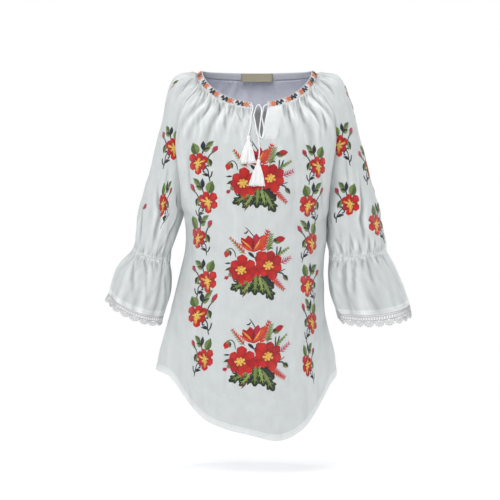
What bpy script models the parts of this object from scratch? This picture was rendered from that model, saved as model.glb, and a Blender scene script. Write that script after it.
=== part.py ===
"""Romanian ie blouse, filled out and hollow, at its real size.

The blouse has a gathered raglan neck on a narrow band that opens at a short slit, three-quarter
sleeves held in at an elastic line above a bell flounce with a lace edge, and a shirt-tail hem.
+X is the viewer's right, the front faces -Y and +Z is up. The origin is the middle of the neck
opening at shoulder height. Tables and sizes are in millimetres and become metres in the meshes.
"""
import math
from collections import namedtuple

import bpy
import numpy as np

MM = 0.001

# ---------------------------------------------------------------- driving sizes
CLOTH_WALL = 1.5
BAND_WALL = 2.0
LACE_WALL = 1.2
FACING_WALL = 1.0
LABEL_WALL = 1.0
SEAM_PULLBACK = 0.4          # each piece stops this far short of a seam line
LAYER_GAP = 0.35             # clear space between a panel and what lies on it
CORD_DIAMETER = 2.4
CORD_STEP = 6.0              # distance between the points of a drawstring's tube

UNDERARM = 9.0               # row number where the four panels meet under the arm
ELASTIC = 12.0               # row number of the sleeve's elastic line
HEM = 17.0                   # row number of the body's hem
RAGLAN_ROWS = (0.0, 0.6, 1.3, 2.2, 3.2, 4.5, 6.0, 7.5, 9.0)
BODY_ROWS = RAGLAN_ROWS + (10.2, 11.5, 12.8, 14.1, 15.4, 16.4, HEM)
SLEEVE_ROWS = RAGLAN_ROWS + (10.2, 11.2, ELASTIC)
SLIT_FOOT_ROW = 4            # index in BODY_ROWS where the neck slit ends
FRONT_LEFT_COLUMNS = 20
FRONT_RIGHT_COLUMNS = 18
BACK_COLUMNS = 28
SLEEVE_COLUMNS = 22
FINE = 241                   # samples of a row before it is divided evenly along its length

# The neck seam, where the gathered cloth meets the band, and the band's free upper edge.
# angle 0 is the front centre and 180 the back centre
RingSize = namedtuple("RingSize", "half_width centre_y front_reach back_reach side_z front_drop back_drop")
NECK_SEAM = RingSize(121.0, 10.0, 91.0, 52.0, -2.0, 75.0, 7.0)
BAND_EDGE = RingSize(110.0, 8.0, 78.0, 48.0, 6.0, 71.0, 0.0)
RING_DIP_POWER = 1.2
FRONT_RAGLAN_ANGLE = 71.0
BACK_RAGLAN_ANGLE = 120.0

# Sleeve rows run from the front raglan seam over the outside of the arm to the back raglan seam.
# seam_x, seam_z: middle of the row's two ends.  outer_x, outer_z: its outermost point.
# mid_y: middle in depth.  deep: half depth.  rise: how far its back stands above its middle.
# spread: half angle of the arc; 180 closes it to a tube.
SleeveRow = namedtuple("SleeveRow", "seam_x seam_z outer_x outer_z mid_y deep rise spread")
LEFT_SLEEVE = (
    SleeveRow(-109.5, -15.0, -121.0, -2.0, 9.0, 29.0, 11.0, 90.0),
    SleeveRow(-122.0, -33.0, -142.0, 1.0, 8.0, 47.0, 8.0, 98.0),
    SleeveRow(-139.0, -55.0, -164.0, -7.0, 6.0, 57.0, 7.0, 101.0),
    SleeveRow(-149.0, -80.0, -179.0, -37.0, 4.0, 60.0, 6.0, 106.0),
    SleeveRow(-153.0, -112.0, -188.0, -82.0, 3.0, 60.0, 4.0, 110.0),
    SleeveRow(-153.0, -150.0, -199.0, -128.0, 3.0, 58.0, 2.0, 116.0),
    SleeveRow(-151.0, -195.0, -210.0, -176.0, 2.0, 57.0, 1.0, 127.0),
    SleeveRow(-149.0, -238.0, -222.0, -222.0, 1.0, 56.0, 1.0, 143.0),
    SleeveRow(-148.0, -270.0, -231.0, -256.0, 1.0, 54.0, 1.0, 161.0),
    SleeveRow(-148.0, -288.0, -236.0, -279.0, 1.0, 53.0, 1.0, 180.0),
    SleeveRow(-156.0, -313.0, -243.0, -306.0, 1.0, 52.0, 2.0, 180.0),
    SleeveRow(-165.0, -338.0, -248.0, -331.0, 1.0, 49.0, 3.0, 180.0),
    SleeveRow(-175.0, -368.0, -244.0, -350.0, 1.0, 38.0, 4.0, 180.0),
)
RIGHT_SLEEVE = (
    SleeveRow(109.5, -15.0, 121.0, -2.0, 9.0, 29.0, 11.0, 90.0),
    SleeveRow(122.0, -33.0, 144.0, 1.0, 8.0, 47.0, 8.0, 98.0),
    SleeveRow(138.0, -55.0, 167.0, -9.0, 6.0, 56.0, 7.0, 101.0),
    SleeveRow(148.0, -80.0, 184.0, -48.0, 4.0, 58.0, 6.0, 106.0),
    SleeveRow(150.0, -112.0, 196.0, -90.0, 3.0, 57.0, 4.0, 110.0),
    SleeveRow(148.0, -150.0, 208.0, -134.0, 3.0, 54.0, 2.0, 116.0),
    SleeveRow(144.0, -195.0, 221.0, -184.0, 3.0, 52.0, 1.0, 127.0),
    SleeveRow(141.0, -238.0, 233.0, -232.0, 3.0, 50.0, 1.0, 143.0),
    SleeveRow(140.0, -270.0, 243.0, -268.0, 3.0, 49.0, 1.0, 161.0),
    SleeveRow(140.0, -290.0, 248.0, -292.0, 3.0, 48.0, 1.0, 180.0),
    SleeveRow(144.0, -315.0, 255.0, -317.0, 3.0, 47.0, 2.0, 180.0),
    SleeveRow(144.0, -339.0, 260.0, -338.0, 3.0, 46.0, 4.0, 180.0),
    SleeveRow(147.0, -367.0, 256.0, -352.0, 3.0, 38.0, 6.0, 180.0),
)

# Flounce rows, from the elastic line to the cloth's lower edge; the last row is the lace's edge
FlounceRow = namedtuple("FlounceRow", "inner_x inner_z outer_x outer_z mid_y deep rise")
LEFT_FLOUNCE = (
    FlounceRow(-175.0, -368.0, -244.0, -350.0, 1.0, 38.0, 4.0),
    FlounceRow(-172.0, -386.0, -262.0, -358.0, 1.0, 50.0, 8.0),
    FlounceRow(-169.0, -413.0, -278.0, -387.0, 1.0, 57.0, 12.0),
    FlounceRow(-172.0, -445.0, -288.0, -412.0, 1.0, 61.0, 15.0),
    FlounceRow(-184.0, -479.0, -295.0, -436.0, 1.0, 63.0, 17.0),
    FlounceRow(-188.0, -498.0, -303.0, -450.0, 1.0, 65.0, 18.0),
)
RIGHT_FLOUNCE = (
    FlounceRow(147.0, -367.0, 256.0, -352.0, 3.0, 38.0, 6.0),
    FlounceRow(142.0, -384.0, 267.0, -370.0, 3.0, 49.0, 8.0),
    FlounceRow(142.0, -412.0, 281.0, -400.0, 3.0, 56.0, 10.0),
    FlounceRow(146.0, -442.0, 294.0, -430.0, 3.0, 60.0, 12.0),
    FlounceRow(156.0, -474.0, 305.0, -460.0, 3.0, 63.0, 14.0),
    FlounceRow(161.0, -494.0, 311.0, -484.0, 3.0, 65.0, 16.0),
)
FLOUNCE_ROWS = (0.0, 1.0, 2.0, 3.0, 4.0)
LACE_ROWS = (4.0, 5.0)

# Body rows at the front and back centre, one for each row number
# curl: half angle of the row's arc; over 90 the panel folds back to its seam.
# tail: share of the shirt tail's drop that the row has
BodyRow = namedtuple("BodyRow", "front_y front_z back_y back_z front_curl back_curl tail")
BODY = (
    BodyRow(-81.0, -77.0, 62.0, -9.0, 71.0, 60.0, 0.0),
    BodyRow(-92.0, -95.0, 78.0, -28.0, 84.0, 80.0, 0.0),
    BodyRow(-100.0, -114.0, 90.0, -52.0, 94.0, 92.0, 0.0),
    BodyRow(-106.0, -136.0, 99.0, -82.0, 100.0, 98.0, 0.0),
    BodyRow(-111.0, -161.0, 106.0, -115.0, 103.0, 101.0, 0.0),
    BodyRow(-116.0, -190.0, 110.0, -154.0, 104.0, 102.0, 0.0),
    BodyRow(-119.0, -224.0, 110.0, -200.0, 103.0, 102.0, 0.0),
    BodyRow(-120.0, -260.0, 107.0, -244.0, 99.0, 98.0, 0.0),
    BodyRow(-120.0, -288.0, 103.0, -276.0, 95.0, 95.0, 0.0),
    BodyRow(-119.0, -308.0, 100.0, -298.0, 90.0, 90.0, 0.0),
    BodyRow(-117.0, -346.0, 98.0, -338.0, 90.0, 90.0, 0.0),
    BodyRow(-115.0, -381.0, 96.0, -374.0, 90.0, 90.0, 0.13),
    BodyRow(-114.0, -417.0, 96.0, -411.0, 90.0, 90.0, 0.27),
    BodyRow(-115.0, -453.0, 99.0, -448.0, 90.0, 90.0, 0.41),
    BodyRow(-117.0, -489.0, 104.0, -485.0, 90.0, 90.0, 0.56),
    BodyRow(-120.0, -524.0, 109.0, -521.0, 90.0, 90.0, 0.71),
    BodyRow(-123.0, -558.0, 113.0, -557.0, 90.0, 90.0, 0.86),
    BodyRow(-126.0, -592.0, 117.0, -592.0, 90.0, 90.0, 1.0),
)

# Side seams below the underarm, one row for each row number from 9
SideRow = namedtuple("SideRow", "left_x right_x side_z")
SIDES = (
    SideRow(-147.0, 141.0, -289.0),
    SideRow(-146.0, 139.5, -330.0),
    SideRow(-149.5, 134.0, -367.0),
    SideRow(-158.0, 131.5, -405.0),
    SideRow(-166.5, 132.0, -443.0),
    SideRow(-173.5, 136.5, -481.0),
    SideRow(-184.0, 145.5, -519.0),
    SideRow(-194.5, 154.0, -556.0),
    SideRow(-201.0, 159.0, -592.0),
)
NECK_SQUARENESS = 1.0        # power of a row's depth profile: 1 is an ellipse, less is fuller
BODY_SQUARENESS = 0.8
SQUARENESS_ROWS = 3.0        # rows over which the neck's roundness turns into the body's

# Shirt tail: drop of the hem below the side corners, across the width from -1 to 1
TailPoint = namedtuple("TailPoint", "across drop")
TAIL = (
    TailPoint(-1.0, 0.0),
    TailPoint(-0.86, 4.0),
    TailPoint(-0.77, 13.0),
    TailPoint(-0.70, 38.0),
    TailPoint(-0.60, 65.0),
    TailPoint(-0.45, 92.0),
    TailPoint(-0.2, 109.0),
    TailPoint(0.1, 121.0),
    TailPoint(0.24, 129.0),
    TailPoint(0.38, 131.0),
    TailPoint(0.52, 121.0),
    TailPoint(0.7, 95.0),
    TailPoint(0.82, 56.0),
    TailPoint(0.92, 22.0),
    TailPoint(1.0, 8.0),
)

# Neck slit: half its opening at the neck seam, and where its line lies along the row
SLIT_LINE = 0.518
SLIT_HALF_OPENING = 15.0
SLIT_CLOSING_POWER = 0.8

# Gathers below the neck band.  top, foot: place along the row at the neck and at the fold's end.
# half_width: in the same measure.  depth: into the cloth.  length: in row numbers
Fold = namedtuple("Fold", "top foot half_width depth length")
FRONT_FOLDS = (
    Fold(0.110, 0.070, 0.040, 3.6, 5.0),
    Fold(0.180, 0.140, 0.036, 3.2, 4.2),
    Fold(0.255, 0.225, 0.036, 3.4, 5.5),
    Fold(0.330, 0.310, 0.034, 2.6, 4.0),
    Fold(0.405, 0.395, 0.032, 2.2, 3.4),
    Fold(0.690, 0.700, 0.036, 3.2, 5.0),
    Fold(0.765, 0.790, 0.038, 3.4, 5.2),
    Fold(0.845, 0.880, 0.038, 3.8, 4.6),
    Fold(0.920, 0.950, 0.034, 3.0, 4.0),
)
BACK_FOLDS = (
    Fold(0.110, 0.080, 0.045, 3.0, 4.6),
    Fold(0.215, 0.185, 0.045, 3.2, 5.2),
    Fold(0.320, 0.300, 0.042, 2.6, 4.0),
    Fold(0.430, 0.425, 0.045, 3.2, 5.4),
    Fold(0.535, 0.540, 0.042, 2.6, 4.2),
    Fold(0.640, 0.660, 0.045, 3.2, 5.0),
    Fold(0.755, 0.785, 0.045, 2.8, 4.2),
    Fold(0.870, 0.905, 0.045, 3.2, 4.8),
)
SLEEVE_FOLDS = (
    Fold(0.160, 0.130, 0.085, 3.4, 4.2),
    Fold(0.370, 0.340, 0.080, 2.8, 3.0),
    Fold(0.600, 0.610, 0.080, 2.6, 3.2),
    Fold(0.820, 0.850, 0.085, 3.2, 4.0),
)
FOLD_START_ROWS = 0.8        # rows over which a gather grows to its full depth below the band
FOLD_EDGE_MARGIN = 0.05      # share of the row's length over which folds die away at the seams

# Flares of the flounce.  around: share of the ring's length from the inner side, front first
Flare = namedtuple("Flare", "around half_width height")
FLARES = (
    Flare(0.08, 0.070, 4.5),
    Flare(0.21, 0.060, 5.5),
    Flare(0.34, 0.065, 4.5),
    Flare(0.47, 0.060, 3.5),
    Flare(0.60, 0.065, 5.0),
    Flare(0.74, 0.065, 4.5),
    Flare(0.88, 0.065, 5.0),
)

# Facing behind the cloth on the right of the slit
FACING_WIDTH = 30.0
FACING_MARGIN = 1.5
FACING_COLUMNS = 4

# Label inside the back neck
LABEL_HALF_ANGLE = 17.0
LABEL_TOP_BELOW_EDGE = 1.5
LABEL_HEIGHT = 17.0
LABEL_COLUMNS = 8

# Drawstrings, from the slit's ends of the neck band to the tassels
LEFT_CORD_ROUTE = (
    (-9.6, -78.4, -71.2),
    (-8.6, -81.6, -75.0),
    (-8.9, -86.8, -81.4),
    (-10.6, -91.2, -88.5),
    (-11.9, -95.4, -96.5),
    (-12.0, -101.0, -109.8),
    (-15.0, -106.0, -123.4),
    (-16.9, -109.2, -131.6),
)
RIGHT_CORD_ROUTE = (
    (19.4, -77.0, -70.6),
    (15.4, -78.6, -71.6),
    (12.4, -81.8, -75.5),
    (10.6, -88.8, -85.2),
    (8.9, -94.9, -96.2),
    (11.2, -100.4, -107.9),
    (12.9, -104.6, -119.5),
    (13.1, -107.4, -129.2),
    (9.9, -109.8, -137.4),
    (6.2, -110.8, -135.4),
    (4.0, -109.4, -125.5),
    (5.2, -105.4, -112.5),
    (6.9, -100.6, -99.6),
    (8.3, -94.4, -86.5),
    (7.4, -87.4, -76.6),
    (3.6, -84.2, -71.2),
    (-0.9, -84.8, -73.6),
    (-4.6, -90.2, -83.6),
    (-6.6, -95.6, -93.3),
    (-4.4, -99.0, -104.0),
    (-2.4, -104.0, -117.6),
    (-0.6, -107.0, -128.2),
    (2.7, -109.2, -137.0),
    (3.6, -112.0, -152.4),
    (4.0, -114.8, -166.0),
    (2.6, -118.0, -178.0),
)

# Tassel rings.  along: share of the length from head to ends
TasselRing = namedtuple("TasselRing", "along half_width half_depth")
TASSEL_RINGS = (
    TasselRing(0.00, 1.6, 1.6),
    TasselRing(0.05, 3.4, 3.0),
    TasselRing(0.12, 3.2, 2.8),
    TasselRing(0.18, 2.2, 2.0),
    TasselRing(0.28, 5.0, 3.4),
    TasselRing(0.60, 11.0, 4.8),
    TasselRing(1.00, 17.0, 4.6),
)
TASSEL_SIDES = 12
LEFT_TASSEL_HEAD = (-17.1, -110.0, -132.8)
LEFT_TASSEL_FOOT = (-19.2, -121.8, -188.3)
RIGHT_TASSEL_HEAD = (2.5, -118.6, -179.4)
RIGHT_TASSEL_FOOT = (-1.4, -126.0, -232.0)


# ---------------------------------------------------------------- curves and rows
def smooth(values, place):
    """Smooth curve through values standing at 0, 1, 2..., read at the given places."""
    values = np.asarray(values, dtype=float)
    place = np.clip(np.asarray(place, dtype=float), 0.0, len(values) - 1.0)
    slopes = np.gradient(values, axis=0)
    low = np.minimum(place.astype(int), len(values) - 2)
    f = place - low
    if values.ndim > 1:
        f = f[..., None]
    start, end = values[low], values[low + 1]
    ease = f * f * (3.0 - 2.0 * f)
    bend = f * (1.0 - f) ** 2 * slopes[low] - f * f * (1.0 - f) * slopes[low + 1]
    return start + (end - start) * ease + bend


def read_row(table, place, row_type):
    """The table's row at a fractional row number."""
    return row_type(*smooth(np.array(table), place))


def ring_point(ring, angle):
    """Points of a neck ring at angles in degrees, 0 at the front and positive to +X."""
    t = np.radians(np.asarray(angle, dtype=float))
    front = np.maximum(np.cos(t), 0.0)
    back = np.maximum(-np.cos(t), 0.0)
    x = ring.half_width * np.sin(t)
    y = ring.centre_y - ring.front_reach * front + ring.back_reach * back
    z = ring.side_z - ring.front_drop * front ** RING_DIP_POWER - ring.back_drop * back
    return np.stack([x, y, z], axis=-1)


def along_length(points, fractions):
    """Points at even shares of a polyline's own length."""
    steps = np.linalg.norm(np.diff(points, axis=0), axis=1)
    length = np.concatenate([[0.0], np.cumsum(steps)])
    wanted = np.asarray(fractions) * length[-1]
    return np.stack([np.interp(wanted, length, points[:, k]) for k in range(3)], axis=-1)


def sleeve_arc(row, side, place):
    """One sleeve row, finely sampled from its front end to its back end."""
    theta = np.radians(row.spread) * np.linspace(-1.0, 1.0, FINE)
    end = math.cos(math.radians(row.spread))
    closing = (np.cos(theta) - end) / (1.0 - end)
    x = row.seam_x + (row.outer_x - row.seam_x) * closing
    z = row.seam_z + (row.outer_z - row.seam_z) * closing + row.rise * np.sin(theta)
    y = row.mid_y + row.deep * np.sin(theta)
    arc = np.stack([x, y, z], axis=-1)
    if place < 1.0:
        first = LEFT_SLEEVE[0] if side < 0 else RIGHT_SLEEVE[0]
        angles = side * np.linspace(FRONT_RAGLAN_ANGLE, BACK_RAGLAN_ANGLE, FINE)
        if place == 0.0:
            return ring_point(NECK_SEAM, angles)
        arc += (ring_point(NECK_SEAM, angles) - sleeve_arc(first, side, 1.0)) * (1.0 - place) ** 2
    return arc


def sleeve_row(side, place):
    """One sleeve row at a row number; side is -1 for the left and 1 for the right."""
    table = LEFT_SLEEVE if side < 0 else RIGHT_SLEEVE
    return sleeve_arc(read_row(table, place, SleeveRow), side, place)


def side_point(side, place, facing):
    """End of a body row: on the raglan seam above the underarm, on the side seam below it.

    facing is -1 for the front panel's end and 1 for the back panel's.
    """
    if place <= UNDERARM:
        return sleeve_row(side, place)[0 if facing < 0 else -1]
    row = read_row(SIDES, place - UNDERARM, SideRow)
    top = read_row(SIDES, 0.0, SideRow)
    seam = sleeve_row(side, UNDERARM)[0]
    point = np.array([row.left_x if side < 0 else row.right_x, seam[1], row.side_z])
    start = np.array([top.left_x if side < 0 else top.right_x, seam[1], top.side_z])
    return point + (seam - start) * max(0.0, UNDERARM + 1.0 - place) ** 2


def tail_drop(across):
    """Drop of the hem below the side corners, at places across the width from -1 to 1."""
    return np.interp(across, [p.across for p in TAIL], [p.drop for p in TAIL])


def panel_arc(row, left, right, facing, power):
    """A body row between its two seam points, before any fitting to the neck seam."""
    middle_y, middle_z, curl = row.front_y, row.front_z, row.front_curl
    if facing > 0:
        middle_y, middle_z, curl = row.back_y, row.back_z, row.back_curl
    angle = np.radians(curl) * np.linspace(-1.0, 1.0, FINE)
    across = np.sin(angle) / math.sin(math.radians(curl))
    end = math.cos(math.radians(curl))
    fullness = np.clip((np.cos(angle) - end) / (1.0 - end), 0.0, 1.0)
    ends = left + (right - left) * (across[:, None] + 1.0) / 2.0
    y = ends[:, 1] + (middle_y - ends[:, 1]) * fullness ** power
    z = ends[:, 2] + (middle_z - ends[:, 2]) * fullness - row.tail * tail_drop(across)
    return np.stack([ends[:, 0], y, z], axis=-1)


def body_row(place, facing):
    """One row of the front (facing -1) or back (facing 1) panel, finely sampled left to right."""
    left, right = side_point(-1, place, facing), side_point(1, place, facing)
    power = NECK_SQUARENESS + (BODY_SQUARENESS - NECK_SQUARENESS) * min(place / SQUARENESS_ROWS, 1.0)
    arc = panel_arc(read_row(BODY, place, BodyRow), left, right, facing, power)
    if place < 1.0:
        limit = FRONT_RAGLAN_ANGLE if facing < 0 else BACK_RAGLAN_ANGLE
        last = limit if facing < 0 else limit - 360.0
        seam = ring_point(NECK_SEAM, np.linspace(-limit, last, FINE))
        if place == 0.0:
            return seam
        start = panel_arc(BODY[0], seam[0], seam[-1], facing, NECK_SQUARENESS)
        arc += (seam - start) * (1.0 - place) ** 2
    return arc


# ---------------------------------------------------------------- sheets
class Sheet:
    """A sheet of cloth: its points, its four-sided faces and the way each point faces."""

    def __init__(self, points, faces):
        self.points = np.array(points, dtype=float)
        self.faces = faces
        self.normals = self.point_normals()

    def point_normals(self):
        normals = np.zeros_like(self.points)
        for face in self.faces:
            a, b, c, d = self.points[list(face)]
            across = np.cross(c - a, d - b)
            for index in face:
                normals[index] += across
        return normals / np.maximum(np.linalg.norm(normals, axis=1), 1e-9)[:, None]

    def push(self, distances):
        """Move each point out along its own normal."""
        self.points = self.points + self.normals * np.asarray(distances)[:, None]
        self.normals = self.point_normals()


def grid_sheet(rows, closed_from=None, flip=False):
    """A sheet through rows of points; from a row number on, the rows close into rings."""
    count = len(rows[0])
    index, points = [], []
    for number, row in enumerate(rows):
        closed = closed_from is not None and number >= closed_from
        kept = row[:-1] if closed else row
        start = len(points)
        points.extend(kept)
        index.append([start + k % len(kept) for k in range(count)])
    faces = []
    for upper, lower in zip(index, index[1:]):
        for k in range(count - 1):
            face = (upper[k], lower[k], lower[k + 1], upper[k + 1])
            faces.append(face[::-1] if flip else face)
    return Sheet(points, faces), index


def shell(sheet, wall):
    """Points and faces of the closed wall behind a sheet."""
    count = len(sheet.points)
    points = np.concatenate([sheet.points, sheet.points - sheet.normals * wall])
    faces = [tuple(face) for face in sheet.faces]
    inner = [tuple(count + i for i in reversed(face)) for face in sheet.faces]
    edges = {}
    for face in sheet.faces:
        for a, b in zip(face, face[1:] + face[:1]):
            edges[(a, b)] = edges.get((a, b), 0) + 1
    rims = [(b, a, count + a, count + b) for (a, b) in edges if (b, a) not in edges]
    return points, faces + inner + rims


def bump(distance):
    """Rounded profile that is 1 in the middle and 0 from a distance of 1."""
    return np.where(np.abs(distance) < 1.0, np.cos(np.clip(distance, -1.0, 1.0) * math.pi / 2.0) ** 2, 0.0)


def gather_depth(folds, along, place):
    """How far the gathers push the cloth in, at places along a row."""
    along = np.asarray(along)
    depth = np.zeros_like(along)
    for fold in folds:
        down = place / fold.length
        if down >= 1.0:
            continue
        centre = fold.top + (fold.foot - fold.top) * down
        growth = min(place / FOLD_START_ROWS, 1.0) * (1.0 - down) ** 0.7
        depth += fold.depth * growth * bump((along - centre) / fold.half_width)
    edge = np.clip(np.minimum(along, 1.0 - along) / FOLD_EDGE_MARGIN, 0.0, 1.0)
    return depth * edge


def share_normals(sheets):
    """Where sheets meet at a seam, let them face the same way, so that their walls end flush."""
    meeting = {}
    for sheet in sheets:
        for point, normal in zip(sheet.points, sheet.normals):
            key = tuple(np.round(point, 2))
            meeting[key] = meeting.get(key, 0.0) + normal
    for sheet in sheets:
        for number, point in enumerate(sheet.points):
            total = meeting[tuple(np.round(point, 2))]
            sheet.normals[number] = total / max(np.linalg.norm(total), 1e-9)


def pull_back(sheet):
    """Draw a sheet's open edges back into it, to leave the gap of a seam."""
    edges = set()
    for face in sheet.faces:
        edges.update(zip(face, face[1:] + face[:1]))
    rim = {i for (a, b) in edges if (b, a) not in edges for i in (a, b)}
    centre = {i: [] for i in rim}
    for face in sheet.faces:
        inside = [i for i in face if i not in rim]
        for i in face:
            if i in rim and inside:
                centre[i].extend(sheet.points[inside])
            elif i in rim:
                centre[i].append(sheet.points[list(face)].mean(axis=0))
    moved = {}
    for i in rim:
        way = np.mean(centre[i], axis=0) - sheet.points[i]
        way -= sheet.normals[i] * np.dot(way, sheet.normals[i])
        moved[i] = way / max(np.linalg.norm(way), 1e-9) * SEAM_PULLBACK
    for i, step in moved.items():
        sheet.points[i] = sheet.points[i] + step


# ---------------------------------------------------------------- pieces
def slit_opening(place):
    """Half the slit's opening at a row number."""
    foot = BODY_ROWS[SLIT_FOOT_ROW]
    return SLIT_HALF_OPENING * max(0.0, 1.0 - place / foot) ** SLIT_CLOSING_POWER


def slit_edges(arc, place):
    """Places of the slit's two edges along a front row."""
    length = np.linalg.norm(np.diff(arc, axis=0), axis=1).sum()
    half = slit_opening(place) / length
    return SLIT_LINE - half, SLIT_LINE + half


def front_sheet():
    """The front, with its slit: the column on the slit's line is doubled down to its foot."""
    left_rows, right_rows, depths = [], [], []
    for place in BODY_ROWS:
        arc = body_row(place, -1)
        left_edge, right_edge = slit_edges(arc, place)
        left = np.linspace(0.0, left_edge, FRONT_LEFT_COLUMNS + 1)
        right = np.linspace(right_edge, 1.0, FRONT_RIGHT_COLUMNS + 1)
        left_rows.append(along_length(arc, left))
        right_rows.append(along_length(arc, right))
        depths.append((gather_depth(FRONT_FOLDS, left, place), gather_depth(FRONT_FOLDS, right, place)))
    points, index, push = [], [], []
    for number, (left, right) in enumerate(zip(left_rows, right_rows)):
        start = len(points)
        points.extend(left)
        push.extend(depths[number][0])
        left_index = list(range(start, start + len(left)))
        if number < SLIT_FOOT_ROW:
            points.extend(right)
            push.extend(depths[number][1])
            right_index = list(range(start + len(left), start + len(left) + len(right)))
        else:
            points.extend(right[1:])
            push.extend(depths[number][1][1:])
            right_index = [left_index[-1]] + list(range(start + len(left), len(points)))
        index.append((left_index, right_index))
    faces = []
    for upper, lower in zip(index, index[1:]):
        for upper_half, lower_half in zip(upper, lower):
            for k in range(len(upper_half) - 1):
                faces.append((upper_half[k], lower_half[k], lower_half[k + 1], upper_half[k + 1]))
    sheet = Sheet(points, faces)
    sheet.push(-np.array(push))
    return sheet


def back_sheet():
    """The back, from its left seam to its right seam."""
    along = np.linspace(0.0, 1.0, BACK_COLUMNS + 1)
    rows = [along_length(body_row(place, 1), along) for place in BODY_ROWS]
    sheet, _ = grid_sheet(rows, flip=True)
    sheet.push(-np.concatenate([gather_depth(BACK_FOLDS, along, place) for place in BODY_ROWS]))
    return sheet


def sleeve_sheet(side):
    """A sleeve from the neck to the elastic line, a tube from the underarm down."""
    along = np.linspace(0.0, 1.0, SLEEVE_COLUMNS + 1)
    rows = [along_length(sleeve_row(side, place), along) for place in SLEEVE_ROWS]
    closed_from = SLEEVE_ROWS.index(UNDERARM)
    sheet, index = grid_sheet(rows, closed_from=closed_from, flip=side < 0)
    push = np.zeros(len(sheet.points))
    for row, place in zip(index, SLEEVE_ROWS):
        push[row] = -gather_depth(SLEEVE_FOLDS, along, place)
    sheet.push(push)
    return sheet


def flounce_row(side, place):
    """One ring of a flounce, finely sampled from its inner side round the front."""
    table = LEFT_FLOUNCE if side < 0 else RIGHT_FLOUNCE
    row = read_row(table, place, FlounceRow)
    theta = math.pi * np.linspace(-1.0, 1.0, FINE)
    closing = (np.cos(theta) + 1.0) / 2.0
    x = row.inner_x + (row.outer_x - row.inner_x) * closing
    z = row.inner_z + (row.outer_z - row.inner_z) * closing + row.rise * np.sin(theta)
    y = row.mid_y + row.deep * np.sin(theta)
    return np.stack([x, y, z], axis=-1)


def flared_sheet(side, places):
    """Rings of a flounce or its lace, with the soft flares that grow downwards."""
    along = np.linspace(0.0, 1.0, SLEEVE_COLUMNS + 1)
    rows = [along_length(flounce_row(side, place), along) for place in places]
    sheet, index = grid_sheet(rows, closed_from=0, flip=side < 0)
    push = np.zeros(len(sheet.points))
    for row, place in zip(index, places):
        swell = sum(f.height * bump((along - f.around) / f.half_width) for f in FLARES)
        push[row] = (swell - 2.0) * min(place / FLOUNCE_ROWS[-1], 1.0)
    return sheet, push


def flounce_sheets(side):
    """A flounce and its lace edge, which share the ring where they are sewn."""
    both, push = flared_sheet(side, FLOUNCE_ROWS + LACE_ROWS[1:])
    both.push(push)
    ring = SLEEVE_COLUMNS
    cloth_points = len(FLOUNCE_ROWS) * ring
    cloth = Sheet(both.points[:cloth_points], [f for f in both.faces if max(f) < cloth_points])
    first = cloth_points - ring
    lace_faces = [tuple(i - first for i in f) for f in both.faces if min(f) >= first]
    return cloth, Sheet(both.points[first:], lace_faces)


def band_sheet(front, back, sleeves):
    """The neck band, open at the slit, standing on the panels' top edges."""
    rim = []
    for sheet in (front, back) + sleeves:
        for point in sheet.points:
            radius = (point[0] / NECK_SEAM.half_width, (point[1] - NECK_SEAM.centre_y))
            reach = NECK_SEAM.front_reach if radius[1] < 0.0 else NECK_SEAM.back_reach
            angle = math.degrees(math.atan2(radius[0], -radius[1] / reach))
            if np.linalg.norm(point - ring_point(NECK_SEAM, angle)) < 0.05:
                rim.append(angle)
    slit = body_row(0.0, -1)
    left_edge, right_edge = slit_edges(slit, 0.0)
    ends = along_length(slit, [left_edge, right_edge])
    first = math.degrees(math.asin(ends[1][0] / NECK_SEAM.half_width))
    last = math.degrees(math.asin(ends[0][0] / NECK_SEAM.half_width)) + 360.0
    angles = sorted({round(a % 360.0, 3) for a in rim})
    angles = [a for a in angles if first + 0.01 < a < last - 0.01]
    angles = [first] + angles + [last]
    lower = ring_point(NECK_SEAM, angles)
    upper = ring_point(BAND_EDGE, angles)
    sheet, _ = grid_sheet([upper, lower])
    return sheet


def facing_sheet():
    """The facing behind the cloth along the slit's right edge."""
    rows = []
    for place in BODY_ROWS[1:SLIT_FOOT_ROW + 1]:
        arc = body_row(place, -1)
        length = np.linalg.norm(np.diff(arc, axis=0), axis=1).sum()
        start = slit_edges(arc, place)[1] + FACING_MARGIN / length
        rows.append(along_length(arc, np.linspace(start, start + FACING_WIDTH / length, FACING_COLUMNS + 1)))
    sheet, _ = grid_sheet(rows)
    sheet.push(np.full(len(sheet.points), -(CLOTH_WALL + 3.0 * LAYER_GAP)))
    return sheet


def label_sheet():
    """The bare label that hangs inside the back neck from the band's edge."""
    angles = np.linspace(180.0 + LABEL_HALF_ANGLE, 180.0 - LABEL_HALF_ANGLE, LABEL_COLUMNS + 1)
    top = ring_point(BAND_EDGE, angles)
    top[:, 1] -= BAND_WALL + 2.0 * LAYER_GAP
    top[:, 2] -= LABEL_TOP_BELOW_EDGE
    sheet, _ = grid_sheet([top, top - np.array([0.0, 0.0, LABEL_HEIGHT])], flip=True)
    return sheet


def tassel_mesh(head, foot):
    """A tassel's head, tied neck and flattened skirt as one closed body."""
    head, foot = np.array(head), np.array(foot)
    turns = np.linspace(0.0, 2.0 * math.pi, TASSEL_SIDES, endpoint=False)
    points, faces = [], []
    for ring in TASSEL_RINGS:
        centre = head + (foot - head) * ring.along
        offset = np.stack([ring.half_width * np.cos(turns), ring.half_depth * np.sin(turns),
                           np.zeros(TASSEL_SIDES)], axis=-1)
        points.extend(centre + offset)
    for number in range(len(TASSEL_RINGS) - 1):
        upper, lower = number * TASSEL_SIDES, (number + 1) * TASSEL_SIDES
        for k in range(TASSEL_SIDES):
            n = (k + 1) % TASSEL_SIDES
            faces.append((upper + k, lower + k, lower + n, upper + n))
    last = (len(TASSEL_RINGS) - 1) * TASSEL_SIDES
    faces.append(tuple(range(TASSEL_SIDES)))
    faces.append(tuple(last + k for k in reversed(range(TASSEL_SIDES))))
    return np.array(points), faces


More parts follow.
